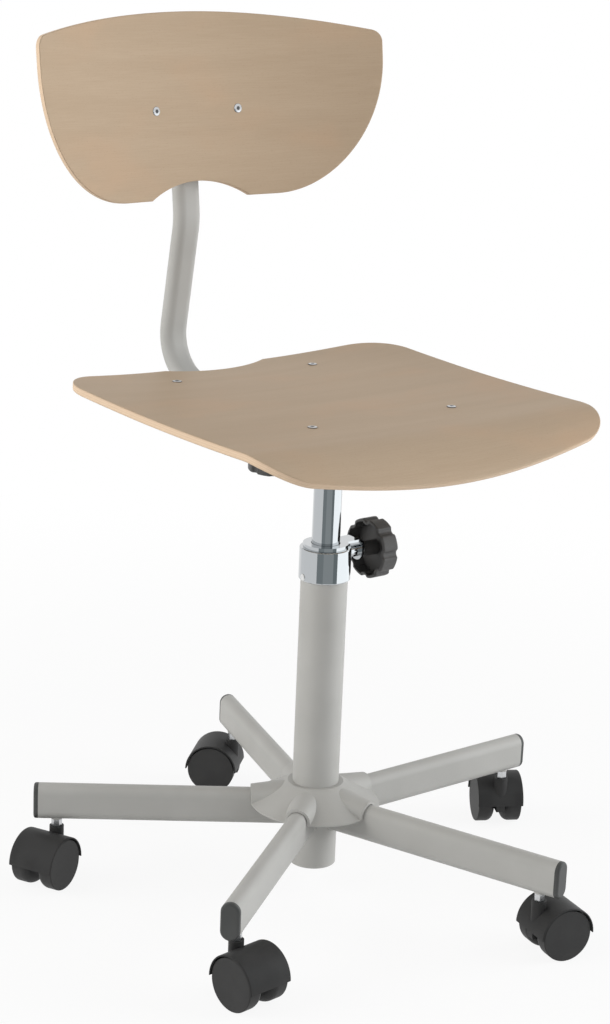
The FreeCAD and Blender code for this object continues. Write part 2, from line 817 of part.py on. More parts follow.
def seat_pads(shell):
    """Spacers between the plate and the seat, cut to the seat's curved underside."""
    pads = []
    for x, y in seat_screw_places():
        pad = ring(seat_pad_radius, bolt_radius + seat_gap, plate_top, seat_top, Z, x, y)
        pads.append(lowest_solid(pad.cut(shell)))
    return Part.makeCompound(pads)


def lowest_solid(shape):
    return min(shape.Solids, key=lambda s: s.CenterOfMass.z)


# Back stem and its clamp

def stem_path():
    """Runs and bends of the stem's centre line in the YZ plane, from under the seat to the top."""
    lean = math.radians(90.0 + stem_lean)
    recline = math.radians(90.0 - back_recline)
    top_run = back_lift + back_screw_rise + stem_top_over
    return [("run", stem_run_end - stem_front), ("bend", stem_bend, lean), ("run", stem_lean_length),
            ("bend", -stem_knee, lean - recline), ("run", top_run)]


def stem_marks():
    """Start point and direction of each piece of the path, and the end of the last one."""
    place, heading = Vector(0, stem_front, run_height), 0.0
    marks = []
    for piece in stem_path():
        marks.append((place, heading))
        along = Vector(0, math.cos(heading), math.sin(heading))
        if piece[0] == "run":
            place = place + along * piece[1]
        else:
            radius, turn = piece[1], piece[2]
            side = Vector(0, -math.sin(heading), math.cos(heading))
            centre = place + side * radius
            heading += turn if radius > 0 else -turn
            side = Vector(0, -math.sin(heading), math.cos(heading))
            place = centre - side * radius
    marks.append((place, heading))
    return marks


def along_stem(width, depth):
    """Solid flat-oval bar along the stem's path."""
    solids = []
    for piece, (place, heading) in zip(stem_path(), stem_marks()):
        face = oval_face(width, depth).rotated(ORIGIN, X, math.degrees(heading)).translated(place)
        along = Vector(0, math.cos(heading), math.sin(heading))
        side = Vector(0, -math.sin(heading), math.cos(heading))
        if piece[0] == "run":
            solids.append(face.extrude(along * piece[1]))
        else:
            turn = math.degrees(piece[2])
            centre = place + side * piece[1]
            solids.append(face.revolve(centre, X if piece[1] > 0 else -X, turn))
    return joined(solids)


def back_stem():
    tube = along_stem(stem_width, stem_depth)
    return tube.cut(along_stem(stem_width - 2 * stem_wall, stem_depth - 2 * stem_wall))


def stem_plugs():
    """Plastic plugs that close the stem's two ends."""
    inner = 2 * (stem_wall + seat_gap)
    marks = stem_marks()
    plugs = []
    for place, heading, out in ((marks[0][0], marks[0][1], -1), (marks[-1][0], marks[-1][1], 1)):
        flange = oval_bar(stem_width, stem_depth, 0, stem_plug_flange, 0)
        plug = oval_bar(stem_width - inner, stem_depth - inner, -stem_plug_length, 0, 0)
        piece = flange.fuse(plug).removeSplitter()
        if out < 0:
            piece = piece.mirror(ORIGIN, Y)
        plugs.append(piece.rotated(ORIGIN, X, math.degrees(heading)).translated(place))
    return Part.makeCompound(plugs)


def stem_sleeve():
    """Flat-oval guide welded under the seat plate; the stem slides in it."""
    grow = 2 * running_gap
    outer_grow = grow + 2 * sleeve_wall
    sleeve = oval_bar(stem_width + outer_grow, stem_depth + outer_grow, sleeve_start, sleeve_end, run_height)
    bore = oval_bar(stem_width + grow, stem_depth + grow, sleeve_start - 1, sleeve_end + 1, run_height)
    hole = rod(screw_radius + running_gap, 0, run_height, Z, 0, depth_knob_place)
    return sleeve.cut(bore).cut(hole)


def depth_boss_top():
    return run_height - sleeve_half_height


def depth_nut():
    """Threaded boss under the sleeve."""
    top = depth_boss_top()
    bore = screw_radius + running_gap
    return ring(nut_boss_radius, bore, top - depth_boss_height, top, Z, 0, depth_knob_place)


def depth_pad_top():
    return run_height - stem_depth / 2 - pad_rest_gap


def depth_pad():
    top = depth_pad_top()
    return rod(screw_radius, top - depth_pad_length, top, Z, 0, depth_knob_place)


def depth_start():
    """Open rim of the depth knob, below the boss."""
    return depth_boss_top() - depth_boss_height - depth_screw_show


def along_depth(shape):
    """Turn a piece drawn on Z upside down onto the depth screw's axis."""
    return shape.rotated(ORIGIN, X, 180.0).translated(Vector(0, depth_knob_place, depth_start()))


# Backrest, drawn upright with its front at y = 0 and its lower corners at z = 0

def on_back(shape):
    """Recline a piece of the backrest and carry it to the stem's upper run."""
    place, heading = stem_marks()[-2]
    along = Vector(0, math.cos(heading), math.sin(heading))
    front = Vector(0, -along.z, along.y)
    depth = stem_depth / 2 + bracket_stand + back_thickness
    origin = place + along * back_lift + front * depth
    return shape.rotated(ORIGIN, X, -back_recline).translated(origin)


def curved_slice(inner, outer, half_angle, low, high):
    """Upright slice of a round wall whose axis stands in front of the backrest."""
    profile = face_of([
        arc(*[polar(inner, a * half_angle, low) for a in (-1, 0, 1)]),
        arc(*[polar(outer, a * half_angle, low) for a in (-1, 0, 1)]),
        line(polar(inner, -half_angle, low), polar(outer, -half_angle, low)),
        line(polar(inner, half_angle, low), polar(outer, half_angle, low)),
    ])
    return profile.extrude(Vector(0, 0, high - low))


def polar(radius, angle, z):
    """Point at a radius from the backrest's axis and an angle from its middle."""
    return radius * math.sin(angle), radius * math.cos(angle) - back_radius, z


def back_outline():
    """Front view of the backrest: arched top, round lobes and an arched notch below."""
    half = back_width / 2
    flat, rise = back_lobe_flat, back_lobe_rise
    c = back_top_corner
    arc_centre = back_height - back_top_arc
    corner_z = arc_centre + math.sqrt((back_top_arc - c) ** 2 - (half - c) ** 2)
    lean = math.atan2(half - c, corner_z - arc_centre)
    touch = (half - c + c * math.sin(lean), corner_z + c * math.cos(lean))
    swing = (lean + math.pi / 2) / 2
    middle = (half - c + c * math.sin(swing), corner_z + c * math.cos(swing))
    edges = [
        arc((-touch[0], 0, touch[1]), (0, 0, back_height), (touch[0], 0, touch[1])),
        arc((-back_notch_half, 0, 0), (0, 0, back_notch_depth), (back_notch_half, 0, 0)),
    ]
    for s in (1, -1):
        edges += [
            arc((s * touch[0], 0, touch[1]), (s * middle[0], 0, middle[1]), (s * half, 0, corner_z)),
            line((s * half, 0, corner_z), (s * half, 0, rise)),
            lobe_edge(s, half - flat, rise),
            line((s * flat, 0, 0), (s * back_notch_half, 0, 0)),
        ]
    return face_of(edges)


def lobe_edge(side, across, rise):
    """Quarter ellipse from the straight lower edge up to the backrest's side."""
    centre = Vector(side * back_lobe_flat, 0, rise)
    low = centre - Z * rise
    wide = centre + X * (side * across)
    major, minor = (low, wide) if rise >= across else (wide, low)
    curve = Part.Ellipse(major, minor, centre)
    ends = sorted((curve.parameter(low), curve.parameter(wide)))
    if ends[1] - ends[0] > math.pi:
        ends = [ends[1], ends[0] + 2 * math.pi]
    return Part.ArcOfEllipse(curve, ends[0], ends[1]).toShape()


def back_screw_angle():
    return math.asin(back_screw_side / back_radius)


def at_back_screws(shape):
    """Copies of a piece drawn on Z, turned onto the two screws' axes; Z points to the sitter."""
    copies = []
    lying = shape.rotated(ORIGIN, X, 90.0)
    axis_place = Vector(0, -back_radius, 0)
    for side in (-1, 1):
        turned = lying.translated(Vector(0, 0, back_screw_rise))
        copies.append(turned.rotated(axis_place, Z, -side * math.degrees(back_screw_angle())))
    return copies


def back_shell():
    """Plywood shell bent round the sitter, with countersunk screw holes."""
    wide = math.asin((back_width / 2 + back_thickness) / back_radius)
    shell = curved_slice(back_radius, back_radius + back_thickness, wide, -1, back_height + 1)
    outline = back_outline().translated(Vector(0, -back_radius, 0)).extrude(Vector(0, 2 * back_radius, 0))
    shell = shell.common(outline)
    for hole in at_back_screws(bolt(0.0, seat_gap, 0, 0, back_thickness * 2)):
        shell = shell.cut(hole)
    return on_back(Part.Solid(shell.Solids[0]))


def back_bracket():
    """Bent steel strap: a flat middle on the stem's front and wings against the shell."""
    low = back_screw_rise - bracket_height / 2
    high = back_screw_rise + bracket_height / 2
    seat = back_thickness + bracket_stand
    t = bracket_thickness
    wing_start = math.asin((bracket_pad_half + bracket_joggle) / back_radius)
    wing_end = math.asin(bracket_half / back_radius)
    inner, outer = back_radius + back_thickness + seat_gap, back_radius + back_thickness + t
    edges = [line((-bracket_pad_half, seat, low), (bracket_pad_half, seat, low)),
             line((-bracket_pad_half, seat - t, low), (bracket_pad_half, seat - t, low))]
    for s in (1, -1):
        angles = (s * wing_start, s * (wing_start + wing_end) / 2, s * wing_end)
        edges += [
            line((s * bracket_pad_half, seat, low), polar(outer, angles[0], low)),
            line((s * bracket_pad_half, seat - t, low), polar(inner, angles[0], low)),
            arc(*[polar(outer, a, low) for a in angles]),
            arc(*[polar(inner, a, low) for a in angles]),
            line(polar(inner, angles[2], low), polar(outer, angles[2], low)),
        ]
    strap = face_of(edges).extrude(Vector(0, 0, high - low))
    for hole in at_back_screws(rod(bolt_radius + seat_gap, -3 * seat, seat)):
        strap = strap.cut(hole)
    return on_back(strap)


def back_screws():
    length = back_thickness + bracket_thickness + nut_height + bolt_tail
    return Part.makeCompound([on_back(s) for s in at_back_screws(bolt(0.0, 0.0, 0, 0, length))])


def back_nuts():
    high = -back_thickness - bracket_thickness
    return Part.makeCompound([on_back(n) for n in at_back_screws(hex_nut(high - nut_height, high, 0, 0))])


def build():
    shell = seat_shell()
    clamp_stud = clamp_start() - clamp_pad_end() - running_gap
    depth_stud = depth_pad_top() - depth_pad_length - running_gap - depth_start()
    nodes = castor_nodes()
    nodes.update({
        "base_arms": Part.makeCompound(all_arms(base_arm())),
        "arm_caps": Part.makeCompound(all_arms(arm_cap())),
        "castor_sockets": Part.makeCompound(all_arms(castor_socket())),
        "hub_pressing": hub_pressing(),
        "column_tube": column_tube(),
        "column_foot": column_foot(),
        "guide_bush": guide_bush(),
        "collar": collar(),
        "collar_rivets": collar_rivets(),
        "clamp_plate": clamp_plate(),
        "clamp_nut": clamp_nut(),
        "clamp_pad": clamp_pad(),
        "clamp_screw": along_clamp(screw_into_knob(clamp_stud)),
        "clamp_knob": along_clamp(star_knob()),
        "post": post(),
        "post_foot_ring": post_foot_ring(),
        "post_cap": post_cap(),
        "swivel_socket": swivel_socket(),
        "swivel_bushes": swivel_bushes(),
        "thrust_disc": thrust_disc(),
        "seat_plate": seat_plate(),
        "seat_pads": seat_pads(shell),
        "seat_shell": shell,
        "seat_screws": seat_screws(),
        "seat_nuts": seat_nuts(),
        "stem_sleeve": stem_sleeve(),
        "depth_nut": depth_nut(),
        "depth_pad": depth_pad(),
        "depth_screw": along_depth(screw_into_knob(depth_stud)),
        "depth_knob": along_depth(star_knob()),
        "back_stem": back_stem(),
        "stem_plugs": stem_plugs(),
        "back_bracket": back_bracket(),
        "back_shell": back_shell(),
        "back_screws": back_screws(),
        "back_nuts": back_nuts(),
    })
    return nodes


def main():
    os.makedirs("parts", exist_ok=True)
    for name, shape in build().items():
        shape.exportStep("parts/%s.step" % name)
        state = "valid" if shape.isValid() else "NOT VALID"
        print("%-24s %2d solids  %10.0f mm3  %s" % (name, len(shape.Solids), shape.Volume, state))


main()
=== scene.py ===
# %% [markdown]
# A mobile work chair: two moulded plywood shells on a grey steel frame,
# with a chromed height post and five castors.
# The solids come finished from a CAD model and are never moved or resized here.
# This lesson gives every surface its finish, and models anew the pieces whose look needs more than a solid:
# the plywood shells, the screws and rivets, the threads and the weld beads.

import json
import math

import bmesh
import bpy
from mathutils import Matrix, Vector


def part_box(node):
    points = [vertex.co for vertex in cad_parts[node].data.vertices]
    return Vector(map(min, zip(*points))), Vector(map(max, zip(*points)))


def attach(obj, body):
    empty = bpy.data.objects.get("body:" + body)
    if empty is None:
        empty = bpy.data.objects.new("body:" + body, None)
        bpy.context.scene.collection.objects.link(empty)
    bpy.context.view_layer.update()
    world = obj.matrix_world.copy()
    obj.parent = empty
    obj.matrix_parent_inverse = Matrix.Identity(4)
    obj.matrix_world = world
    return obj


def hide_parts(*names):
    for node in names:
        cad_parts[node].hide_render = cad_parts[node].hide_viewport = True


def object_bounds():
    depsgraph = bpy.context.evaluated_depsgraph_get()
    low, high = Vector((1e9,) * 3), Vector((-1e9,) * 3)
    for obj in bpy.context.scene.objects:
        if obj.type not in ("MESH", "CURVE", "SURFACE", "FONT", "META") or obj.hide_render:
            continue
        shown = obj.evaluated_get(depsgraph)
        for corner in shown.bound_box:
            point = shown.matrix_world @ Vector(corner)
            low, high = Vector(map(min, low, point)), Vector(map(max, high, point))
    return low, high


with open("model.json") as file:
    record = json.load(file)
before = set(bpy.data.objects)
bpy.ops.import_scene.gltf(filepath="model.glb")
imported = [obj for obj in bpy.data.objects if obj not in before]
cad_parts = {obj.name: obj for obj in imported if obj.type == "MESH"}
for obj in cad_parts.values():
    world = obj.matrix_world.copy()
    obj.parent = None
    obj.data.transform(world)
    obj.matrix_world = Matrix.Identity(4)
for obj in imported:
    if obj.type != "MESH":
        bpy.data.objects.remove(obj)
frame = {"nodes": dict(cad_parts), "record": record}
solid_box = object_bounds()
nodes = frame["nodes"]
slot_of = {part["node"]: part["material_slot"] for part in frame["record"]["subparts"]}
MM = 0.001
corners_mm = [[round(c / MM, 1) for c in corner] for corner in solid_box]
print("solids:", len(nodes), "box in mm:", corners_mm)

# %% [markdown]
# A node tree is arithmetic on sockets, so it reads best as arithmetic.
# One small class wraps an output socket: plus, minus, times and divide add Math nodes behind the scenes.
# Its add method makes every other node, for shaders and for Geometry Nodes alike:
# the settings go in first, because they decide which sockets a node has, then the values and links.


# %% A wire in a node tree
class Wire:
    """An output socket in a node tree; arithmetic on wires adds Math nodes to that tree."""

    def __init__(self, tree, socket=None):
        self.tree = tree
        self.socket = socket

    def add(self, kind, settings=None, sockets=None, output=0):
        """Add a node of any kind and return one of its outputs as a wire."""
        node = self.tree.nodes.new(kind)
        for name, value in (settings or {}).items():
            setattr(node, name, value)
        for key, value in (sockets or {}).items():
            if isinstance(value, Wire):
                self.tree.links.new(value.socket, node.inputs[key])
            else:
                node.inputs[key].default_value = value
        return Wire(self.tree, node.outputs[output]) if node.outputs else None

    def math(self, operation, *values):
        return self.add("ShaderNodeMath", {"operation": operation}, dict(enumerate(values)))

    def __add__(self, other):
        return self.math("ADD", self, other)

    def __sub__(self, other):
        return self.math("SUBTRACT", self, other)

    def __rsub__(self, other):
        return self.math("SUBTRACT", other, self)

    def __mul__(self, other):
        return self.math("MULTIPLY", self, other)

    def __truediv__(self, other):
        return self.math("DIVIDE", self, other)

    def __rtruediv__(self, other):
        return self.math("DIVIDE", other, self)

    __radd__ = __add__
    __rmul__ = __mul__

    def most(self, other):
        return self.math("MAXIMUM", self, other)

    def step(self, low, high):
        """0 below low, 1 above high, and a smooth rise between."""
        values = {"Value": self, "From Min": low, "From Max": high}
        return self.add("ShaderNodeMapRange", {"interpolation_type": "SMOOTHSTEP"}, values)

    def stretch(self, *factors):
        """A vector wire scaled along each axis."""
        return self.add("ShaderNodeVectorMath", {"operation": "MULTIPLY"}, {0: self, 1: factors})

    def blend(self, low, high):
        """Mix two colours, with this wire as the share of the second."""
        return self.add("ShaderNodeMix", {"data_type": "RGBA"}, {0: self, 6: low, 7: high}, output=2)

    def noise(self, scale, detail=3.0):
        """Noise around 0.5 that reads this wire as a place."""
        return self.add("ShaderNodeTexNoise", {}, {"Vector": self, "Scale": scale, "Detail": detail})

    def bump(self, strength, height):
        """A normal that a height in metres tilts."""
        relief = {"Strength": strength, "Distance": 1.0, "Height": self * height}
        return self.add("ShaderNodeBump", {}, relief)

    def axes(self):
        """The three coordinates of a vector wire."""
        split = self.add("ShaderNodeSeparateXYZ", {}, {0: self})
        return [Wire(self.tree, socket) for socket in split.socket.node.outputs]

    def vector(self, x, y, z):
        """A vector wire from three coordinates, each a wire or a number."""
        return self.add("ShaderNodeCombineXYZ", {}, {"X": x, "Y": y, "Z": z})

    def placed(self, position):
        """A geometry wire whose points have moved to a new position."""
        return self.add("GeometryNodeSetPosition", {}, {"Geometry": self, "Position": position})


def rgb(red, green, blue):
    return (red, green, blue, 1.0)


# %% [markdown]
# A finish is a function that gets an empty tree and returns a shader.
# Most finishes read Object coordinates in metres, so a grain of a given size is that size on the chair:
# the scale of a noise is the number of its grains in a metre.
# Only the faces of the plywood read a place on their own flat sheet instead.

# %% Make a material from a recipe
CLOUD_STEP = (0.3, 0.7)
FINE_RELIEF = 0.0001


def finish(name, recipe):
    """A material whose shader a recipe builds."""
    material = bpy.data.materials.new(name)
    material.use_nodes = True
    material.node_tree.nodes.clear()
    bench = Wire(material.node_tree)
    bench.add("ShaderNodeOutputMaterial", {}, {"Surface": recipe(bench)})
    print("finish", name, "has", len(material.node_tree.nodes), "nodes")
    return material


def here(bench):
    """The place on the piece, in metres."""
    return bench.add("ShaderNodeTexCoord", output="Object")


def shader(bench, color, roughness, normal, **constants):
    """A Principled shader; constants are set on its own sockets."""
    sockets = {"Base Color": color, "Roughness": roughness, "Normal": normal}
    sockets.update({key.replace("_", " "): value for key, value in constants.items()})
    return bench.add("ShaderNodeBsdfPrincipled", {}, sockets)


# %% [markdown]
# The frame has a warm light grey powder coat: sprayed on as dry powder and baked, it flows out
# to a satin skin with a faint orange peel. The peel is a ripple of about a millimetre and a half,
# too shallow to see as a shape, but it is what breaks up the highlights along the tubes.
# A slow change of tone keeps the tubes from looking printed.

# %% Grey powder coat
COAT_DARK = rgb(0.386, 0.384, 0.367)
COAT_LIGHT = rgb(0.417, 0.415, 0.398)
COAT_CLOUDS = 14.0
COAT_PEEL = 650.0
COAT_ROUGH = 0.40
PEEL_RELIEF = 0.00012


def powder_coat(bench):
    place = here(bench)
    cloud = place.noise(COAT_CLOUDS)
    peel = place.noise(COAT_PEEL, 2.0)
    color = cloud.step(*CLOUD_STEP).blend(COAT_DARK, COAT_LIGHT)
    rough = COAT_ROUGH + 0.10 * cloud + 0.06 * peel
    return shader(bench, color, rough, peel.bump(0.35, PEEL_RELIEF))


coat = finish("grey_powder_coat", powder_coat)


# %% [markdown]
# Chrome is a mirror, so its look is the room it stands in. Only a faint haze in the roughness is its own,
# drawn out along the height of the post, and a slow change of tone where a cloth has wiped it.

# %% Chrome plate
CHROME_DARK = rgb(0.53, 0.55, 0.565)
CHROME_LIGHT = rgb(0.56, 0.575, 0.585)
CHROME_HAZE = 60.0
CHROME_WIPES = 9.0
HAZE_STRETCH = (1.0, 1.0, 0.1)


def chrome_plate(bench):
    place = here(bench)
    haze = place.stretch(*HAZE_STRETCH).noise(CHROME_HAZE)
    color = place.noise(CHROME_WIPES).blend(CHROME_DARK, CHROME_LIGHT)
    rough = 0.03 + 0.05 * haze
    return shader(bench, color, rough, haze.bump(0.04, FINE_RELIEF), Metallic=1.0)


chrome = finish("chrome_plate", chrome_plate)


# %% [markdown]
# Screws, nuts and the castors' pins are zinc plated: a softer mirror than chrome, with a fine spangle.
# The hexagon sockets, and the rim where a head meets the wood, are darkened with painted shade, and a little
# dust lies on the seat's screws.
# A number stored on the mesh says how much of that painted shade and dust each point carries, and solids
# without that number simply read zero.

# %% Bright zinc on screws, nuts and pins
ZINC_DARK = rgb(0.50, 0.51, 0.52)
ZINC_LIGHT = rgb(0.68, 0.69, 0.70)
# Near black, for painted shade in the screws' sockets and round their rims, and for dust on their domes.
SHADE_AND_DUST_TONE = rgb(0.03, 0.03, 0.03)
ZINC_SPANGLE = 420.0
TOOL_MARKS = 110.0
TOOL_STRETCH = (1.0, 1.0, 14.0)


def zinc_plate(bench):
    place = here(bench)
    spangle = place.noise(ZINC_SPANGLE)
    turned = place.stretch(*TOOL_STRETCH).noise(TOOL_MARKS)
    # The stored number blends in painted shade at the sockets and rims, and dust on the seat's screws'
    # domes.
    grime = bench.add("ShaderNodeAttribute", {"attribute_name": "grime"}, output="Fac")
    color = (0.92 * grime).blend(spangle.blend(ZINC_DARK, ZINC_LIGHT), SHADE_AND_DUST_TONE)
    rough = 0.20 + 0.16 * turned + 0.30 * grime
    return shader(bench, color, rough, turned.bump(0.10, FINE_RELIEF), Metallic=1.0)


zinc = finish("bright_zinc", zinc_plate)


# %% [markdown]
# The castors, caps and knobs are black moulded plastic, and no two are the same black.
# The hoods come out of a mould with a fine grain, the wheels are a touch lighter and rougher,
# and the caps and knobs are a smoother plastic with more gloss. The bushes are of an off-white one.

# %% Moulded plastics
PLASTIC_CLOUDS = 30.0


def moulded(dark, light, rough, grain, grain_size, gloss=0.5):
    """Recipe for a moulded plastic: two tones, a roughness, a grain of some size and a level of gloss."""
    def recipe(bench):
        place = here(bench)
        cloud = place.noise(PLASTIC_CLOUDS)
        grains = place.noise(1.0 / grain_size, 2.0)
        color = cloud.step(*CLOUD_STEP).blend(rgb(*dark), rgb(*light))
        rough_here = rough + 0.14 * cloud + 0.08 * grains
        normal = grains.bump(grain, FINE_RELIEF)
        return shader(bench, color, rough_here, normal, Specular_IOR_Level=gloss)
    return recipe


plastics = {
    "castor_hood": moulded(
        (0.029,) * 3, (0.038,) * 3, rough=0.38, grain=0.45, grain_size=0.0009, gloss=0.16),
    "castor_wheel": moulded(
        (0.032,) * 3, (0.040,) * 3, rough=0.42, grain=0.30, grain_size=0.0012, gloss=0.20),
    "end_cap": moulded(
        (0.043, 0.045, 0.044), (0.054, 0.056, 0.055), rough=0.38, grain=0.35, grain_size=0.0008),
    "knob": moulded(
        (0.049, 0.048, 0.047), (0.062, 0.061, 0.060), rough=0.36, grain=0.30, grain_size=0.0007),
    "white_bush": moulded(
        (0.62, 0.61, 0.56), (0.68, 0.67, 0.62), rough=0.38, grain=0.15, grain_size=0.0012),
}
plastic = {name: finish(name + "_plastic", recipe) for name, recipe in plastics.items()}


# %% [markdown]
# Between each clamp screw and what it grips lies a small brass pad,
# softer than the tube so that it can't mark it. It is turned from bar, which leaves fine marks on it.

# %% Brass of the clamp pads
BRASS_DARK = rgb(0.58, 0.40, 0.16)
BRASS_LIGHT = rgb(0.70, 0.52, 0.24)
BRASS_MARKS = 900.0


def turned_brass(bench):
    marks = here(bench).noise(BRASS_MARKS)
    color = marks.blend(BRASS_DARK, BRASS_LIGHT)
    return shader(bench, color, 0.22 + 0.18 * marks, marks.bump(0.12, FINE_RELIEF), Metallic=1.0)


brass = finish("turned_brass", turned_brass)


# %% [markdown]
# Most solids have the right shape already and only need a finish. The record names a slot for each solid,
# and a slot picks the finish. The black plastics differ from piece to piece, so those are named one by one.

# %% Give the solids their finishes
finish_of_slot = {
    "grey_coat": coat, "chrome": chrome, "steel": zinc, "black_plastic": plastic["castor_hood"],
    "bush_plastic": plastic["white_bush"], "brass_pad": brass,
}
finish_of_node = {
    **dict.fromkeys(("arm_caps", "stem_plugs", "seat_pads", "post_cap"), plastic["end_cap"]),
    **dict.fromkeys(("clamp_knob", "depth_knob"), plastic["knob"]),
    **{name: plastic["castor_wheel"] for name in nodes if "wheel" in name},
}
finished = []
for name, solid in nodes.items():
    chosen = finish_of_node.get(name, finish_of_slot.get(slot_of[name]))
    if chosen:
        solid.data.materials.clear()
        solid.data.materials.append(chosen)
        finished.append(name)
print("finishes given to", len(finished), "of", len(nodes), "solids")

# %% [markdown]
# Plywood shells are pressed: sheets of beech veneer with glue between go into a heated mould,
# and the bent board is then cut to its outline and rounded along the edge.
# The script turns that order round, because a flat outline is easier to cut: the blank is cut first,
# with its edge rounded, and a Geometry Nodes tree then presses it into the mould's curve.
# Each point keeps two facts from the blank: how deep it lies in the board, which shows the veneers
# along the edge, and its place on the flat sheet, as a UV map, so that the grain bends with the wood.

# %% Points of an outline
def arc_points(centre, radius, start, end, count):
    """Points on a circle between two angles in degrees, measured from +X; the last one is left out."""
    turns = [math.radians(start + (end - start) * i / count) for i in range(count)]
    return [Vector((centre[0] + radius * math.cos(t), centre[1] + radius * math.sin(t))) for t in turns]


def line_points(start, end, count):
    """Points on a line; the last one is left out."""
    return [Vector(start).lerp(Vector(end), i / count) for i in range(count)]


def both_halves(right_half):
    """Close an outline by mirroring the half at +X, which runs from one point on the axis to another."""
    left_half = [Vector((-p.x, p.y)) for p in reversed(right_half[1:-1])]
    return right_half + left_half


def inset_outline(outline, distance):
    """The outline moved inwards; it runs counter-clockwise."""
    moved = []
    for i, point in enumerate(outline):
        along = (outline[(i + 1) % len(outline)] - outline[i - 1]).normalized()
        moved.append(point + Vector((-along.y, along.x)) * distance)
    return moved


# %% Meshes from rings of points
def ring_mesh(name, rings):
    """Closed mesh through rings of points; a ring of one point is a pole."""
    shape = bmesh.new()
    loops = [[shape.verts.new(p) for p in ring] for ring in rings]
    for low, high in zip(loops, loops[1:]):
        count = max(len(low), len(high))
        for i in range(count):
            j = (i + 1) % count
            corners = [low[i % len(low)], low[j % len(low)], high[j % len(high)], high[i % len(high)]]
            shape.faces.new(list(dict.fromkeys(corners)))
    bmesh.ops.recalc_face_normals(shape, faces=shape.faces)
    mesh = bpy.data.meshes.new(name)
    shape.to_mesh(mesh)
    shape.free()
    return mesh


def mark_rings(mesh, label, rings, values):
    """Store one number for all points of each ring."""
    spread = [value for ring, value in zip(rings, values) for _ in ring]
    mesh.attributes.new(label, "FLOAT", "POINT").data.foreach_set("value", spread)


def new_piece(name, mesh):
    """A mesh as an object of the scene, at the origin."""
    piece = bpy.data.objects.new(name, mesh)
    bpy.context.scene.collection.objects.link(piece)
    return piece


# %% Cut a flat blank
EDGE_ROUND = 1.2 * MM
EDGE_STEPS = 4
WALL_STEPS = 6
RING_COUNT = 34


def rings_of_blank(outline, centre, thickness):
    """Rings of a board with their depths: out over the top, round the edge and back underneath."""
    r = EDGE_ROUND
    turns = [math.radians(90.0 * i / EDGE_STEPS) for i in range(EDGE_STEPS + 1)]
    edge = [(r - r * math.sin(t), r - r * math.cos(t)) for t in turns]
    edge += [(0.0, r + (thickness - 2 * r) * i / WALL_STEPS) for i in range(1, WALL_STEPS)]
    edge += [(inset, thickness - depth) for inset, depth in reversed(edge[:EDGE_STEPS + 1])]
    margin = inset_outline(outline, 2.0 * r)
    face = [[centre.lerp(p, i / RING_COUNT) for p in margin] for i in range(1, RING_COUNT + 1)]
    rings = [([centre], 0.0)] + [(ring, 0.0) for ring in face]
    rings += [(inset_outline(outline, inset), depth) for inset, depth in edge]
    rings += [(ring, thickness) for ring in reversed(face)] + [([centre], thickness)]
    return rings


def flat_blank(name, outline, centre, thickness, unroll):
    """The blank as a piece: depth runs along -Z, and the UV map is the place on the flat veneer."""
    layers = rings_of_blank(outline, Vector(centre), thickness)
    rings = [[(p.x, p.y, -depth) for p in ring] for ring, depth in layers]
    mesh = ring_mesh(name, rings)
    mark_rings(mesh, "ply_depth", rings, [depth / thickness for _, depth in layers])
    sheet = mesh.uv_layers.new(name="veneer")
    for loop in mesh.loops:
        sheet.uv[loop.index].vector = unroll(mesh.vertices[loop.vertex_index].co)
    return new_piece(name, mesh)


# %% [markdown]
# Geometry Nodes trees need the same few steps each time: named inputs, a geometry that ends in
# Realize Instances and Set Material, and a plain mesh at last, because the export drops what is only
# generated. Inputs are set by their identifiers before the piece is first evaluated.

# %% Build and run a Geometry Nodes tree
def open_tree(name, inputs):
    """A tree with a geometry input and named inputs; returns a dictionary of wires."""
    tree = bpy.data.node_groups.new(name, "GeometryNodeTree")
    tree.interface.new_socket("Geometry", in_out="INPUT", socket_type="NodeSocketGeometry")
    for label, kind in inputs.items():
        tree.interface.new_socket(label, in_out="INPUT", socket_type="NodeSocket" + kind)
    tree.interface.new_socket("Geometry", in_out="OUTPUT", socket_type="NodeSocketGeometry")
    entry = tree.nodes.new("NodeGroupInput")
    return {socket.name: Wire(tree, socket) for socket in entry.outputs if socket.name}


def close_tree(geometry, material):
    """End a tree with real geometry and one finish."""
    solid = geometry.add("GeometryNodeRealizeInstances", {}, {"Geometry": geometry})
    done = solid.add("GeometryNodeSetMaterial", {}, {"Geometry": solid, "Material": material})
    done.add("NodeGroupOutput", {}, {"Geometry": done})
    return done.tree


def run_tree(piece, tree, values, sharp_angle=40.0):
    """Run a tree on a piece with its named inputs, and keep the result as a plain, smooth mesh."""
    modifier = piece.modifiers.new(tree.name, "NODES")
    modifier.node_group = tree
    for item in tree.interface.items_tree:
        if item.in_out == "INPUT" and item.name in values:
            modifier[item.identifier] = values[item.name]
    bpy.context.view_layer.update()
    evaluated = piece.evaluated_get(bpy.context.evaluated_depsgraph_get())
    mesh = bpy.data.meshes.new_from_object(evaluated)
    piece.modifiers.clear()
    piece.data = mesh
    mesh.polygons.foreach_set("use_smooth", [True] * len(mesh.polygons))
    mesh.set_sharp_from_angle(angle=math.radians(sharp_angle))
    return piece


def dress(piece, body, slot, *replaced):
    """Let a finished piece ride on its body and stand for the solids that it replaces."""
    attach(piece, body)
    if replaced:
        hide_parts(*replaced)
    print(piece.name, "rides on", body, "with", len(piece.data.polygons), "faces")


# %% [markdown]
# Beech veneer is pale and close-grained. Three scales make it: long streaks along the grain, fine fibres,
# and the short dark flecks that mark beech. A slow pinkish mottle comes from the log's own colour.
# Each of them is a noise that is squeezed across the grain, so each has a number along it and one across.
# Along the cut edge the depth in the board picks the veneer: layers laid crossways show end grain
# and look darker, with a thin glue line between two layers. A thin satin lacquer lies over it all.

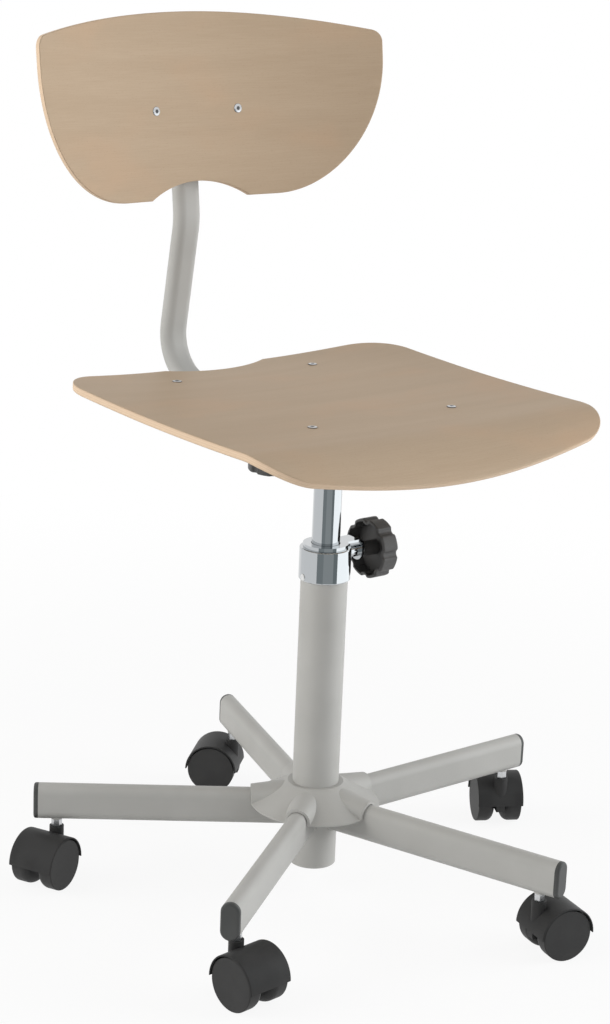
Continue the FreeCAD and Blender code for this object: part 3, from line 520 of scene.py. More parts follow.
# %% Colours and grain of beech
BEECH_DARK = rgb(0.436, 0.330, 0.229)
BEECH_LIGHT = rgb(0.478, 0.368, 0.261)
BEECH_PINK = rgb(0.505, 0.354, 0.236)
BEECH_FLECK = rgb(0.300, 0.205, 0.130)
LONG_GRAIN_EDGE = rgb(0.690, 0.530, 0.385)
END_GRAIN_EDGE = rgb(0.600, 0.450, 0.315)
GLUE_LINE = rgb(0.360, 0.250, 0.165)
STREAKS = (2.6, 30.0, 1.0)
FIBRES = (24.0, 950.0, 1.0)
FLECKS = (260.0, 1500.0, 1.0)
MOTTLE = (7.0, 13.0, 1.0)
PORES = 1400.0
GLUE_SHARE = 0.10
LACQUER = {"Specular_IOR_Level": 0.16, "Coat_Weight": 0.02, "Coat_Roughness": 0.28}
WOOD_RELIEF = 0.00008


# %% Beech plywood
def veneer_face(streaks, fibres, flecks, mottle):
    """Colour of the outer veneer."""
    tone = (0.62 * streaks + 0.38 * fibres).step(*CLOUD_STEP)
    face = tone.blend(BEECH_DARK, BEECH_LIGHT)
    face = (0.60 * mottle.step(0.46, 0.72)).blend(face, BEECH_PINK)
    return (0.22 * flecks).blend(face, BEECH_FLECK)


def veneer_edge(bench, veneer):
    """Colour of the cut edge, where the whole part of veneer counts the layers from the top."""
    line = veneer.math("FRACT", veneer)
    crossed = veneer.math("MODULO", veneer.math("FLOOR", veneer), 2.0)
    pores = here(bench).noise(PORES, 2.0)
    cut = (0.55 * crossed + 0.35 * pores).blend(LONG_GRAIN_EDGE, END_GRAIN_EDGE)
    glue = 1.0 - line.step(0.0, GLUE_SHARE) * (1.0 - line.step(1.0 - GLUE_SHARE, 1.0))
    return (0.30 * glue).blend(cut, GLUE_LINE)


def beech_plywood(layers):
    """Recipe for plywood of a number of veneers."""
    def recipe(bench):
        sheet = bench.add("ShaderNodeUVMap", {"uv_map": "veneer"})
        depth = bench.add("ShaderNodeAttribute", {"attribute_name": "ply_depth"}, output="Fac")
        streaks = sheet.stretch(*STREAKS).noise(1.0, 4.0)
        fibres = sheet.stretch(*FIBRES).noise(1.0, 2.0)
        flecks = sheet.stretch(*FLECKS).noise(1.0, 1.0).step(0.62, 0.72)
        mottle = sheet.stretch(*MOTTLE).noise(1.0, 3.0)
        below_top = depth.step(0.5 / layers, 0.9 / layers)
        below_last = depth.step(1.0 - 0.9 / layers, 1.0 - 0.5 / layers)
        inside = below_top * (1.0 - below_last)
        face = veneer_face(streaks, fibres, flecks, mottle)
        color = inside.blend(face, veneer_edge(bench, depth * layers))
        rough = 0.46 + 0.10 * fibres + 0.10 * inside
        relief = 0.7 * fibres + 0.3 * streaks - 0.5 * flecks
        return shader(bench, color, rough, relief.bump(0.25, WOOD_RELIEF), **LACQUER)
    return recipe


SEAT_VENEERS = 7.0
BACK_VENEERS = 6.0
seat_wood = finish("seat_beech_plywood", beech_plywood(SEAT_VENEERS))
back_wood = finish("back_beech_plywood", beech_plywood(BACK_VENEERS))

# %% [markdown]
# The seat is nearly flat across, dished towards the rear, and rolls down at the front so that it doesn't
# press under the thighs. In plan it has a slightly curved front, round corners and a shallow arched notch
# at the rear.
# The mould's curve is a formula, so the press is a tree of formulas: the height at a place, the slope there,
# and the point that lies a given depth below it, square to the surface.

# %% Seat outline
seat_low, seat_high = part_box("seat_shell")
SEAT_HALF = (seat_high.x - seat_low.x) / 2
SEAT_FRONT = -seat_low.y
SEAT_REAR = seat_high.y
SEAT_THICK = 8.0 * MM
FRONT_ARC = 1160.0 * MM
FRONT_CORNER = 50.0 * MM
REAR_CORNER = 57.0 * MM
REAR_SWEEP = 24.0 * MM
SEAT_NOTCH_HALF = 65.8 * MM
SEAT_NOTCH_DEPTH = 18.0 * MM
FRONT_POINTS, SIDE_POINTS, SWEEP_POINTS = 40, 60, 24
CORNER_POINTS, NOTCH_POINTS = 24, 16


def notch_arc(half, depth):
    """Radius of an arched notch, and half the angle that it spans, in degrees."""
    radius = (half ** 2 + depth ** 2) / (2 * depth)
    return radius, math.degrees(math.asin(half / radius))


def seat_outline():
    """Counter-clockwise plan of the seat, from the middle of the front edge."""
    arc_y = FRONT_ARC - SEAT_FRONT
    corner_x = SEAT_HALF - FRONT_CORNER
    corner_y = arc_y - math.sqrt((FRONT_ARC - FRONT_CORNER) ** 2 - corner_x ** 2)
    lean = math.degrees(math.atan2(corner_x, arc_y - corner_y))
    sweep = math.atan2(REAR_SWEEP, SEAT_HALF - SEAT_NOTCH_HALF)
    rear_x = SEAT_HALF - REAR_CORNER
    rear_y = SEAT_REAR - (rear_x - SEAT_NOTCH_HALF) * math.tan(sweep) - REAR_CORNER / math.cos(sweep)
    edge = (rear_x + REAR_CORNER * math.sin(sweep), rear_y + REAR_CORNER * math.cos(sweep))
    notch_radius, notch_turn = notch_arc(SEAT_NOTCH_HALF, SEAT_NOTCH_DEPTH)
    notch_top = SEAT_REAR - SEAT_NOTCH_DEPTH
    half = arc_points((0, arc_y), FRONT_ARC, -90.0, -90.0 + lean, FRONT_POINTS)
    half += arc_points((corner_x, corner_y), FRONT_CORNER, -90.0 + lean, 0.0, CORNER_POINTS)
    half += line_points((SEAT_HALF, corner_y), (SEAT_HALF, rear_y), SIDE_POINTS)
    half += arc_points((rear_x, rear_y), REAR_CORNER, 0.0, 90.0 - math.degrees(sweep), CORNER_POINTS)
    half += line_points(edge, (SEAT_NOTCH_HALF, SEAT_REAR), SWEEP_POINTS)
    half += arc_points((0, notch_top + notch_radius), notch_radius, -90.0 + notch_turn, -90.0, NOTCH_POINTS)
    return both_halves(half + [Vector((0, notch_top))])


print("seat outline:", len(seat_outline()), "points")


# %% Press the seat
WATERFALL_START = 140.0 * MM
WATERFALL_RADIUS = 95.5 * MM
seat_mould = {
    "Width": 2 * SEAT_HALF, "Dish": 3.57 * MM, "Dish Place": 70.0 * MM, "Dish Length": 120.0 * MM,
    "Rear Drop": 3.5 * MM, "Flat End": 60.0 * MM, "Rear": SEAT_REAR,
    "Roll Start": WATERFALL_START, "Roll Radius": WATERFALL_RADIUS,
}


def seat_press():
    """Tree that bends a flat blank into the seat's mould."""
    wire = open_tree("seat_press", {**dict.fromkeys(seat_mould, "Float"), "Finish": "Material"})
    x, y, z = wire["Geometry"].add("GeometryNodeInputPosition").axes()
    across = 2.0 * x / wire["Width"]
    along = (y + wire["Dish Place"]) / wire["Dish Length"]
    rise = wire["Dish"] * y.math("COSH", along) * across * across
    rise_slope = wire["Dish"] * y.math("SINH", along) * across * across / wire["Dish Length"]
    rear_run = wire["Rear"] - wire["Flat End"]
    past_flat = (y - wire["Flat End"]).most(0.0) / rear_run
    drop = wire["Rear Drop"] * past_flat * past_flat
    drop_slope = 2.0 * wire["Rear Drop"] * past_flat / rear_run
    past_roll = (0.0 - y - wire["Roll Start"]).most(0.0)
    upright = y.math("SQRT", wire["Roll Radius"] * wire["Roll Radius"] - past_roll * past_roll)
    slope = rise_slope - drop_slope + past_roll / upright
    steep = y.math("SQRT", slope * slope + 1.0)
    height = rise - drop - wire["Roll Radius"] + upright
    bent = x.vector(x, y - slope * z / steep, height + z / steep)
    return close_tree(wire["Geometry"].placed(bent), wire["Finish"])


def unroll_seat(point):
    """Place on the flat veneer: the front roll is longer than it looks from above."""
    past = -point.y - WATERFALL_START
    if past <= 0:
        return point.x, point.y
    return point.x, -WATERFALL_START - WATERFALL_RADIUS * math.asin(past / WATERFALL_RADIUS)


def lay_in_box(piece, node):
    """Move a mesh so that the middle of its box is the middle of a solid's box."""
    low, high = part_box(node)
    spots = [v.co for v in piece.data.vertices]
    own = Vector([(min(p[i] for p in spots) + max(p[i] for p in spots)) / 2 for i in range(3)])
    piece.data.transform(Matrix.Translation((low + high) / 2 - own))


BOARD_SHARP_ANGLE = 60.0
seat_board = flat_blank("seat_board", seat_outline(), (0, 0), SEAT_THICK, unroll_seat)
run_tree(seat_board, seat_press(), {**seat_mould, "Finish": seat_wood}, BOARD_SHARP_ANGLE)
lay_in_box(seat_board, "seat_shell")
dress(seat_board, "seat", "plywood", "seat_shell")

# %% [markdown]
# The backrest is a simpler mould, a round wall that the sitter leans into, but its outline is richer:
# an arched top, two lobes that round off like quarter ellipses, and the arched notch above the stem.

# %% Backrest outline
BACK_HALF = (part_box("back_shell")[1].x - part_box("back_shell")[0].x) / 2
BACK_HEIGHT = 199.2 * MM
BACK_THICK = 7.0 * MM
BACK_BEND = 524.0 * MM
BACK_RECLINE = math.radians(7.2)
TOP_ARC = 970.0 * MM
TOP_CORNER = 14.0 * MM
LOBE_FLAT = 100.0 * MM
LOBE_RISE = 145.0 * MM
BACK_NOTCH_HALF = 64.8 * MM
BACK_NOTCH_DEPTH = 18.7 * MM
BOTTOM_POINTS, LOBE_POINTS, END_POINTS = 8, 60, 6
TIP_POINTS, TOP_POINTS = 12, 50


def lobe_points():
    """Quarter of an ellipse from the flat of the lower edge up to the end of the backrest."""
    turns = [math.radians(90.0 * i / LOBE_POINTS) for i in range(LOBE_POINTS)]
    reach = BACK_HALF - LOBE_FLAT
    return [Vector((LOBE_FLAT + reach * math.sin(t), LOBE_RISE * (1 - math.cos(t)))) for t in turns]


def back_outline():
    """Counter-clockwise front view of the backrest, from the middle of the notch."""
    notch_radius, notch_turn = notch_arc(BACK_NOTCH_HALF, BACK_NOTCH_DEPTH)
    notch_y = BACK_NOTCH_DEPTH - notch_radius
    arc_y = BACK_HEIGHT - TOP_ARC
    corner_x = BACK_HALF - TOP_CORNER
    corner_y = arc_y + math.sqrt((TOP_ARC - TOP_CORNER) ** 2 - corner_x ** 2)
    lean = math.degrees(math.atan2(corner_x, corner_y - arc_y))
    half = arc_points((0, notch_y), notch_radius, 90.0, 90.0 - notch_turn, NOTCH_POINTS)
    half += line_points((BACK_NOTCH_HALF, 0), (LOBE_FLAT, 0), BOTTOM_POINTS)
    half += lobe_points()
    half += line_points((BACK_HALF, LOBE_RISE), (BACK_HALF, corner_y), END_POINTS)
    half += arc_points((corner_x, corner_y), TOP_CORNER, 0.0, 90.0 - lean, TIP_POINTS)
    half += arc_points((0, arc_y), TOP_ARC, 90.0 - lean, 90.0, TOP_POINTS)
    return both_halves(half + [Vector((0, BACK_HEIGHT))])


print("backrest outline:", len(back_outline()), "points")


# %% Bend the backrest
def back_press():
    """Tree that bends a flat blank round an upright axis and reclines it."""
    wire = open_tree("back_press", {"Bend": "Float", "Recline": "Float", "Finish": "Material"})
    x, y, z = wire["Geometry"].add("GeometryNodeInputPosition").axes()
    radius = wire["Bend"] - z
    wall = x.math("SQRT", radius * radius - x * x) - wire["Bend"]
    upright = x.vector(x, wall, y)
    leaning = upright.add("ShaderNodeVectorRotate", {"rotation_type": "X_AXIS"},
                          {"Vector": upright, "Angle": wire["Recline"]})
    return close_tree(wire["Geometry"].placed(leaning), wire["Finish"])


def unroll_back(point):
    """Place on the flat veneer: the bend is longer than it looks from the front."""
    return BACK_BEND * math.asin(point.x / BACK_BEND), point.y


back_board = flat_blank("back_board", back_outline(), (0, BACK_HEIGHT / 2), BACK_THICK, unroll_back)
back_mould = {"Bend": BACK_BEND, "Recline": -BACK_RECLINE, "Finish": back_wood}
run_tree(back_board, back_press(), back_mould, BOARD_SHARP_ANGLE)
lay_in_box(back_board, "back_shell")
dress(back_board, "back", "plywood", "back_shell")

# %% [markdown]
# Six countersunk screws hold the shells. One screw is modelled with care, with a low dome and a hexagon
# socket, and a tree sets a copy at each place: a point carries where the screw sits and which way it looks,
# and a seeded random turn leaves each socket at its own angle, as a driver does.

# %% A screw with a hexagon socket
HEAD_SIDES = 48
SCREW_RIM = 0.12 * MM
SCREW_SKIRT = 0.35 * MM
SOCKET_FLOOR_SHARE = 0.55
# Painted shade: the socket's rings are darkened for the shade in the recess. The head's rim where it meets
# the wood, and all that lies in the wood, are darkened fully.
SOCKET_SHADE = [0.9, 0.9, 0.8, 0.2]
HEAD_EDGE_SHADE = 1.0


def round_ring(radius, height):
    """Ring on a circle round the Z axis."""
    turns = [2 * math.pi * i / HEAD_SIDES for i in range(HEAD_SIDES)]
    return [(radius * math.cos(t), radius * math.sin(t), height) for t in turns]


def hexagon_ring(flats, height):
    """Ring on a hexagon, with a point at each of the circle's angles."""
    ring = []
    for i in range(HEAD_SIDES):
        turn = 2 * math.pi * i / HEAD_SIDES
        off = turn % (math.pi / 3) - math.pi / 6
        reach = flats / 2 / math.cos(off)
        ring.append((reach * math.cos(turn), reach * math.sin(turn), height))
    return ring


def socket_screw(head, dome, socket, shank, length, dust):
    """Countersunk screw along -Z, with its head's outer edge at height 0, painted shade in its socket and
    round its rim, and some dust on its dome.
    """
    bottom = SOCKET_FLOOR_SHARE * dome
    rim = SCREW_RIM
    in_socket = [
        [(0, 0, 0.9 * bottom)], hexagon_ring(0.98 * socket, bottom),
        hexagon_ring(socket, dome - rim), hexagon_ring(socket + 2 * rim, dome),
    ]
    on_dome = [
        round_ring(0.72 * socket, dome), round_ring(0.78 * head, 0.72 * dome),
        round_ring(0.93 * head, 0.30 * dome),
    ]
    in_wood = [
        round_ring(head - rim, 0.04 * dome), round_ring(head, -rim), round_ring(head, -SCREW_SKIRT),
        round_ring(shank, -0.52 * head), round_ring(shank, -length), [(0, 0, -length)],
    ]
    rings = in_socket + on_dome + in_wood
    mesh = ring_mesh("socket_screw", rings)
    # Painted shade in the socket and at the rim, and dust only on the dome.
    grime = SOCKET_SHADE + [dust] * len(on_dome) + [HEAD_EDGE_SHADE] * len(in_wood)
    mark_rings(mesh, "grime", rings, grime)
    return mesh


# %% Set copies on points
def copy_setter():
    """Tree that sets a turned copy of a piece at each point, looking along the point's aim."""
    wire = open_tree("copy_setter", {
        "Piece": "Object", "Size": "Float", "Most Turn": "Float", "Seed": "Int", "Finish": "Material"})
    points = wire["Geometry"]
    shape = points.add("GeometryNodeObjectInfo", {}, {"Object": wire["Piece"]}, output="Geometry")
    aim = points.add("GeometryNodeInputNamedAttribute", {"data_type": "FLOAT_VECTOR"}, {"Name": "aim"})
    facing = points.add("FunctionNodeAlignRotationToVector", {"axis": "Z"}, {"Vector": aim})
    turn = points.add("FunctionNodeRandomValue", {"data_type": "FLOAT"},
                      {2: 0.0, 3: wire["Most Turn"], "Seed": wire["Seed"]}, output=1)
    spin = turn.vector(0.0, 0.0, turn)
    turned = points.add("FunctionNodeRotateRotation", {"rotation_space": "LOCAL"},
                        {"Rotation": facing, "Rotate By": spin})
    copies = points.add("GeometryNodeInstanceOnPoints", {}, {
        "Points": points, "Instance": shape, "Rotation": turned, "Scale": wire["Size"]})
    return close_tree(copies, wire["Finish"])


def set_copies(name, mesh, places, aims, material, seed=1, most_turn=2 * math.pi):
    """A piece of copies of a mesh at places, each looking along its aim."""
    model = new_piece(name + "_model", mesh)
    points = bpy.data.meshes.new(name)
    points.from_pydata([tuple(p) for p in places], [], [])
    spread = [c for aim in aims for c in Vector(aim).normalized()]
    points.attributes.new("aim", "FLOAT_VECTOR", "POINT").data.foreach_set("vector", spread)
    piece = new_piece(name, points)
    run_tree(piece, copy_setter(), {
        "Piece": model, "Size": 1.0, "Most Turn": most_turn, "Seed": seed, "Finish": material})
    bpy.data.objects.remove(model)
    return piece


# %% [markdown]
# A node of the frame may hold several solids, such as the four screws of the seat, in one mesh.
# To learn where each of them is, a copy of that mesh is merged at its corners and walked along its edges:
# all the points that can be reached from one another are one solid.

# %% Find the fasteners in a node
MERGE_DISTANCE = 0.001 * MM
CROWN_BAND = 0.1 * MM


def loose_solids(node):
    """Points of each separate solid in a node, whose mesh comes as loose triangles."""
    mesh = bmesh.new()
    mesh.from_mesh(nodes[node].data)
    bmesh.ops.remove_doubles(mesh, verts=mesh.verts, dist=MERGE_DISTANCE)
    mesh.verts.ensure_lookup_table()
    seen, groups = set(), []
    for start in mesh.verts:
        if start.index in seen:
            continue
        group, queue = [], [start]
        seen.add(start.index)
        while queue:
            vert = queue.pop()
            group.append(vert.co.copy())
            for edge in vert.link_edges:
                other = edge.other_vert(vert)
                if other.index not in seen:
                    seen.add(other.index)
                    queue.append(other)
        groups.append(group)
    mesh.free()
    return groups


def head_places(node, aim_of):
    """Top of each fastener in a node, the way its head looks, and its length that way."""
    spots = []
    for group in loose_solids(node):
        aim = aim_of(sum(group, Vector()) / len(group))
        heights = [p.dot(aim) for p in group]
        top = max(heights)
        crown = [p for p, height in zip(group, heights) if height > top - CROWN_BAND]
        spots.append((sum(crown, Vector()) / len(crown), aim, top - min(heights)))
    return spots


# %% Screws of the seat and the backrest
SCREW_HEAD = 5.0 * MM
SCREW_DOME = 0.6 * MM
SCREW_SINK = 0.2 * MM
SCREW_SHANK = 3.0 * MM
HEX_SOCKET = 3.7 * MM
SEAT_DUST = 0.10
BACK_DUST = 0.0


def set_screws(name, node, aim_of, body, seed, dust):
    """Socket screws in place of a node's plain ones."""
    spots = head_places(node, aim_of)
    length = spots[0][2] - SCREW_DOME
    screw = socket_screw(SCREW_HEAD, SCREW_DOME, HEX_SOCKET, SCREW_SHANK, length, dust)
    places = [top - aim * SCREW_SINK for top, aim, _ in spots]
    screws = set_copies(name, screw, places, [aim for _, aim, _ in spots], zinc, seed)
    dress(screws, body, "steel", node)


def up(middle):
    """Straight up, out of the seat."""
    return Vector((0, 0, 1))


def out_of_back(middle):
    """Square to the bent backrest, towards the sitter."""
    tilt = math.asin(middle.x / (BACK_BEND + BACK_THICK))
    return Matrix.Rotation(-BACK_RECLINE, 3, "X") @ Vector((-math.sin(tilt), -math.cos(tilt), 0))


set_screws("seat_screw_set", "seat_screws", up, "seat", seed=4, dust=SEAT_DUST)
set_screws("back_screw_set", "back_screws", out_of_back, "back", seed=9, dust=BACK_DUST)

# %% [markdown]
# Rivets hold the chromed collar on the column. A rivet's head is a shallow dome of soft, pale alloy,
# closed by a tool that leaves it slightly matt, so it reads as a white spot on the mirror of the collar.
# The same tree that set the screws sets the rivets, with another model and no turn.

# %% Rivets of the collar
RIVET_HEAD = 3.7 * MM
RIVET_DOME = 1.5 * MM
RIVET_SHANK = 2.6 * MM
RIVET_SKIRT = 0.3 * MM
DOME_STEPS = 9
ALLOY_DARK = rgb(0.80, 0.80, 0.79)
ALLOY_LIGHT = rgb(0.90, 0.90, 0.89)
ALLOY_DENTS = 700.0


def rivet_alloy(bench):
    hammered = here(bench).noise(ALLOY_DENTS)
    color = hammered.blend(ALLOY_DARK, ALLOY_LIGHT)
    rough = 0.34 + 0.16 * hammered
    return shader(bench, color, rough, hammered.bump(0.15, FINE_RELIEF), Metallic=1.0)


def dome_rivet(length):
    """Rivet along -Z from its head, whose flat side is at height 0."""
    turns = [math.radians(90.0 / DOME_STEPS * i) for i in range(1, DOME_STEPS + 1)]
    dome = [round_ring(RIVET_HEAD * math.sin(t), RIVET_DOME * math.cos(t)) for t in turns]
    foot = [round_ring(RIVET_HEAD, -RIVET_SKIRT), round_ring(RIVET_SHANK, -RIVET_SKIRT),
            round_ring(RIVET_SHANK, -length), [(0, 0, -length)]]
    return ring_mesh("dome_rivet", [[(0, 0, RIVET_DOME)]] + dome + foot)


def out_of_column(middle):
    """Level, away from the column's axis."""
    return Vector((middle.x, middle.y, 0)).normalized()


rivet_spots = head_places("collar_rivets", out_of_column)
rivet_places = [top - aim * RIVET_DOME for top, aim, _ in rivet_spots]
rivet_model = dome_rivet(rivet_spots[0][2] - RIVET_DOME)
alloy = finish("rivet_alloy", rivet_alloy)
rivets = set_copies("collar_rivet_set", rivet_model, rivet_places, [aim for _, aim, _ in rivet_spots],
                    alloy, seed=2, most_turn=0.0)
dress(rivets, "base", "chrome", "collar_rivets")

# %% [markdown]
# The clamp screws are studs with a coarse thread. A thread is a rule: the radius at a point depends only
# on its height and on its angle, and moves on by one pitch with each turn. So a tree starts from a plain
# cylinder with many rows and pulls each point in by that rule.
# The stud stays one closed skin, with no ridge stuck on it.

# %% Threaded studs
THREAD_PITCH = 1.25 * MM
THREAD_DEPTH = 0.72 * MM
THREAD_SIDES = 28
ROWS_PER_TURN = 8


def thread_cutter():
    """Tree that makes a threaded stud on the Z axis, with its middle at the origin."""
    wire = open_tree("thread_cutter", {
        "Radius": "Float", "Length": "Float", "Pitch": "Float", "Depth": "Float",
        "Sides": "Int", "Rows": "Int", "Finish": "Material"})
    blank = wire["Radius"].add("GeometryNodeMeshCylinder", {}, {
        "Vertices": wire["Sides"], "Side Segments": wire["Rows"], "Radius": 1.0, "Depth": wire["Length"]})
    x, y, z = blank.add("GeometryNodeInputPosition").axes()
    turn = x.math("ARCTAN2", y, x) / (2.0 * math.pi)
    phase = z / wire["Pitch"] - turn
    groove = x.math("ABSOLUTE", 2.0 * (phase - x.math("FLOOR", phase)) - 1.0)
    radius = wire["Radius"] - wire["Depth"] * groove
    return close_tree(blank.placed(x.vector(x * radius, y * radius, z)), wire["Finish"])


def threaded_stud(name, node, axis, body):
    """A threaded stud in place of a plain one that lies along an axis, 0 for X and 2 for Z."""
    low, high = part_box(node)
    sizes = high - low
    length = sizes[axis]
    stud = new_piece(name, bpy.data.meshes.new(name))
    run_tree(stud, thread_cutter(), {
        "Radius": min(sizes) / 2, "Length": length, "Pitch": THREAD_PITCH, "Depth": THREAD_DEPTH,
        "Sides": THREAD_SIDES, "Rows": round(length / THREAD_PITCH * ROWS_PER_TURN), "Finish": zinc})
    along = Vector([1.0 if i == axis else 0.0 for i in range(3)])
    facing = Vector((0, 0, 1)).rotation_difference(along)
    stud.data.transform(Matrix.Translation((low + high) / 2) @ facing.to_matrix().to_4x4())
    dress(stud, body, "steel", node)


threaded_stud("clamp_stud", "clamp_screw", 0, "clamp_handle")
threaded_stud("depth_stud", "depth_screw", 2, "depth_handle")

# %% [markdown]
# The frame is welded, and the beads show through the powder coat: at the column, where the five arms end
# on it, and under the seat, where the swivel's socket and the stem's sleeve join the plate
# and a boss joins the sleeve.
# A bead is a path with a round section whose size swells and shrinks with the welder's rhythm.
# A tree makes that from any path, so each seam is just a list of points on the joint.

# %% Weld beads
BEAD_RIPPLE = 2.4 * MM
BEAD_SECTION = 10
POINTS_PER_RIPPLE = 6
UNSTEADY_HAND = 160.0
BEAD_SHARP_ANGLE = 80.0


def bead_layer():
    """Tree that lays a rippled bead along each path of a wire mesh."""
    wire = open_tree("bead_layer", {
        "Bead": "Float", "Ripple": "Float", "Step": "Float", "Section": "Int", "Finish": "Material"})
    path = wire["Geometry"].add("GeometryNodeMeshToCurve", {}, {"Mesh": wire["Geometry"]})
    path = path.add("GeometryNodeResampleCurve", {"mode": "LENGTH"},
                    {"Curve": path, "Length": wire["Step"]})
    run = path.add("GeometryNodeSplineParameter", output="Length")
    beat = run.math("SINE", run / wire["Ripple"] * (2.0 * math.pi))
    unsteady = path.add("GeometryNodeInputPosition").noise(UNSTEADY_HAND)
    size = wire["Bead"] * (0.72 + 0.12 * beat + 0.40 * unsteady)
    section = path.add("GeometryNodeCurvePrimitiveCircle", {},
                       {"Resolution": wire["Section"], "Radius": 1.0})
    bead = path.add("GeometryNodeCurveToMesh", {}, {
        "Curve": path, "Profile Curve": section, "Scale": size, "Fill Caps": True})
    return close_tree(bead, wire["Finish"])


def weld(name, seams, bead, body):
    """Beads along seams, each a list of points and whether it closes."""
    spots, edges = [], []
    for points, closed in seams:
        first = len(spots)
        spots += [tuple(p) for p in points]
        edges += [(i, i + 1) for i in range(first, len(spots) - 1)]
        if closed:
            edges.append((len(spots) - 1, first))
    mesh = bpy.data.meshes.new(name)
    mesh.from_pydata(spots, edges, [])
    piece = new_piece(name, mesh)
    run_tree(piece, bead_layer(), {
        "Bead": bead, "Ripple": BEAD_RIPPLE, "Step": BEAD_RIPPLE / POINTS_PER_RIPPLE,
        "Section": BEAD_SECTION, "Finish": coat}, BEAD_SHARP_ANGLE)
    dress(piece, body, "grey_coat")


def ring_seam(centre, radius, height, count=48):
    """Closed seam round an upright tube."""
    turns = [2 * math.pi * i / count for i in range(count)]
    x, y = centre[0], centre[1]
    return [(x + radius * math.cos(t), y + radius * math.sin(t), height) for t in turns], True


# %% Seams of the base
ARM_COUNT = 5
ARM_WIDE = 20.0 * MM
ARM_TALL = 40.0 * MM
BASE_BEAD = 1.7 * MM
arm_middle = (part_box("base_arms")[0].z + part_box("base_arms")[1].z) / 2
column_half = (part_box("column_tube")[1].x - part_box("column_tube")[0].x) / 2


def arm_seam(turn, count=72):
    """Flat-oval line where an arm ends on the round column."""
    r = ARM_WIDE / 2
    straight = (ARM_TALL - ARM_WIDE) / 2
    cos, sin = math.cos(turn), math.sin(turn)
    points = []
    for i in range(count):
        t = 2 * math.pi * i / count
        side = r * math.cos(t)
        height = arm_middle + math.copysign(straight, math.sin(t)) + r * math.sin(t)
        out = math.sqrt(column_half ** 2 - side ** 2)
        points.append((out * cos - side * sin, out * sin + side * cos, height))
    return points, True


arm_seams = [arm_seam(2 * math.pi * i / ARM_COUNT) for i in range(ARM_COUNT)]
weld("base_weld_beads", arm_seams, BASE_BEAD, "base")

# %% Seams under the seat
STITCH_LENGTH = 24.0 * MM
STITCH_COUNT = 3
STITCH_STEPS = 4
SEAM_SHARE = 0.62
SEAT_BEAD = 2.0 * MM
BOSS_BEAD = 1.2 * MM
plate_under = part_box("seat_plate")[0].z
sleeve_low, sleeve_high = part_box("stem_sleeve")
boss_low, boss_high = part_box("depth_nut")
socket_half = (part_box("swivel_socket")[1].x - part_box("swivel_socket")[0].x) / 2


def stitch_seams():
    """Short straight beads in the groove between the sleeve's round sides and the plate."""
    tall = sleeve_high.z - sleeve_low.z
    side = sleeve_high.x - tall / 2 * (1 - SEAM_SHARE)
    spare = (sleeve_high.y - sleeve_low.y - STITCH_COUNT * STITCH_LENGTH) / (STITCH_COUNT + 1)
    seams = []
    for sign in (-1, 1):
        for i in range(STITCH_COUNT):
            y = sleeve_low.y + spare + i * (STITCH_LENGTH + spare)
            start = Vector((sign * side, y, plate_under))
            end = Vector((sign * side, y + STITCH_LENGTH, plate_under))
            seams.append((line_points(start, end, STITCH_STEPS) + [end], False))
    return seams


socket_seam = ring_seam((0, 0), socket_half, plate_under)
weld("seat_weld_beads", [socket_seam] + stitch_seams(), SEAT_BEAD, "seat")
boss_middle = (boss_low + boss_high) / 2
boss_half = (boss_high.x - boss_low.x) / 2
weld("boss_weld_bead", [ring_seam(boss_middle, boss_half, boss_high.z)], BOSS_BEAD, "seat")

# %% [markdown]
# The photograph's studio is white all round. The floor is pale, keeps a soft shadow,
# and turns fully white away from the chair. Rays from the camera see mostly a white glow there,
# while the light that falls back on the chair comes from plain pale paper.

# %% Floor
FLOOR_SIZE = 40.0
FLOOR_GAP = 0.2 * MM
PAPER = rgb(0.80, 0.80, 0.80)
WHITE = rgb(1, 1, 1)
FADE_START, FADE_END = 0.5, 1.6
GLOW_SHARE = 0.90


def white_rays(bench):
    """1 for rays that see the background: straight from the camera, mirrored or refracted."""
    kinds = ("Camera", "Glossy", "Transmission")
    rays = [bench.add("ShaderNodeLightPath", output="Is %s Ray" % kind) for kind in kinds]
    return rays[0].most(rays[1]).most(rays[2])


def glow(bench, color):
    """A plain glow, where white is full white in the picture."""
    return bench.add("ShaderNodeEmission", {}, {"Color": color, "Strength": 1.0})


def pale_floor(bench):
    away = bench.add("ShaderNodeVectorMath", {"operation": "LENGTH"}, {0: here(bench)}, output="Value")
    paper = bench.add("ShaderNodeBsdfDiffuse", {}, {"Color": PAPER})
    share = white_rays(bench) * (GLOW_SHARE + (1.0 - GLOW_SHARE) * away.step(FADE_START, FADE_END))
    return bench.add("ShaderNodeMixShader", {}, {0: share, 1: paper, 2: glow(bench, WHITE)})


floor_mesh = bpy.data.meshes.new("floor")
signs = ((-1, -1), (1, -1), (1, 1), (-1, 1))
floor_corners = [(sx * FLOOR_SIZE, sy * FLOOR_SIZE, 0.0) for sx, sy in signs]
floor_mesh.from_pydata(floor_corners, [], [(0, 1, 2, 3)])
floor_mesh.materials.append(finish("pale_floor", pale_floor))
floor = new_piece("floor", floor_mesh)
floor.location.z = solid_box[0].z - FLOOR_GAP

# %% [markdown]
# A chromed post shows the whole room as upright bands, so the bands are set out like a photographer's cards.
# Five bent cards stand round the chair: bright ones at its sides, and darker ones on the camera's side,
# where a real studio has its dark end. Only mirrored rays see them, so they light nothing else.

# %% Cards that the chrome mirrors
CARD_RADIUS = 0.85
CARD_HEIGHT = 0.80
CARD_STEPS = 24
CAMERA_AZIMUTH = 230.7


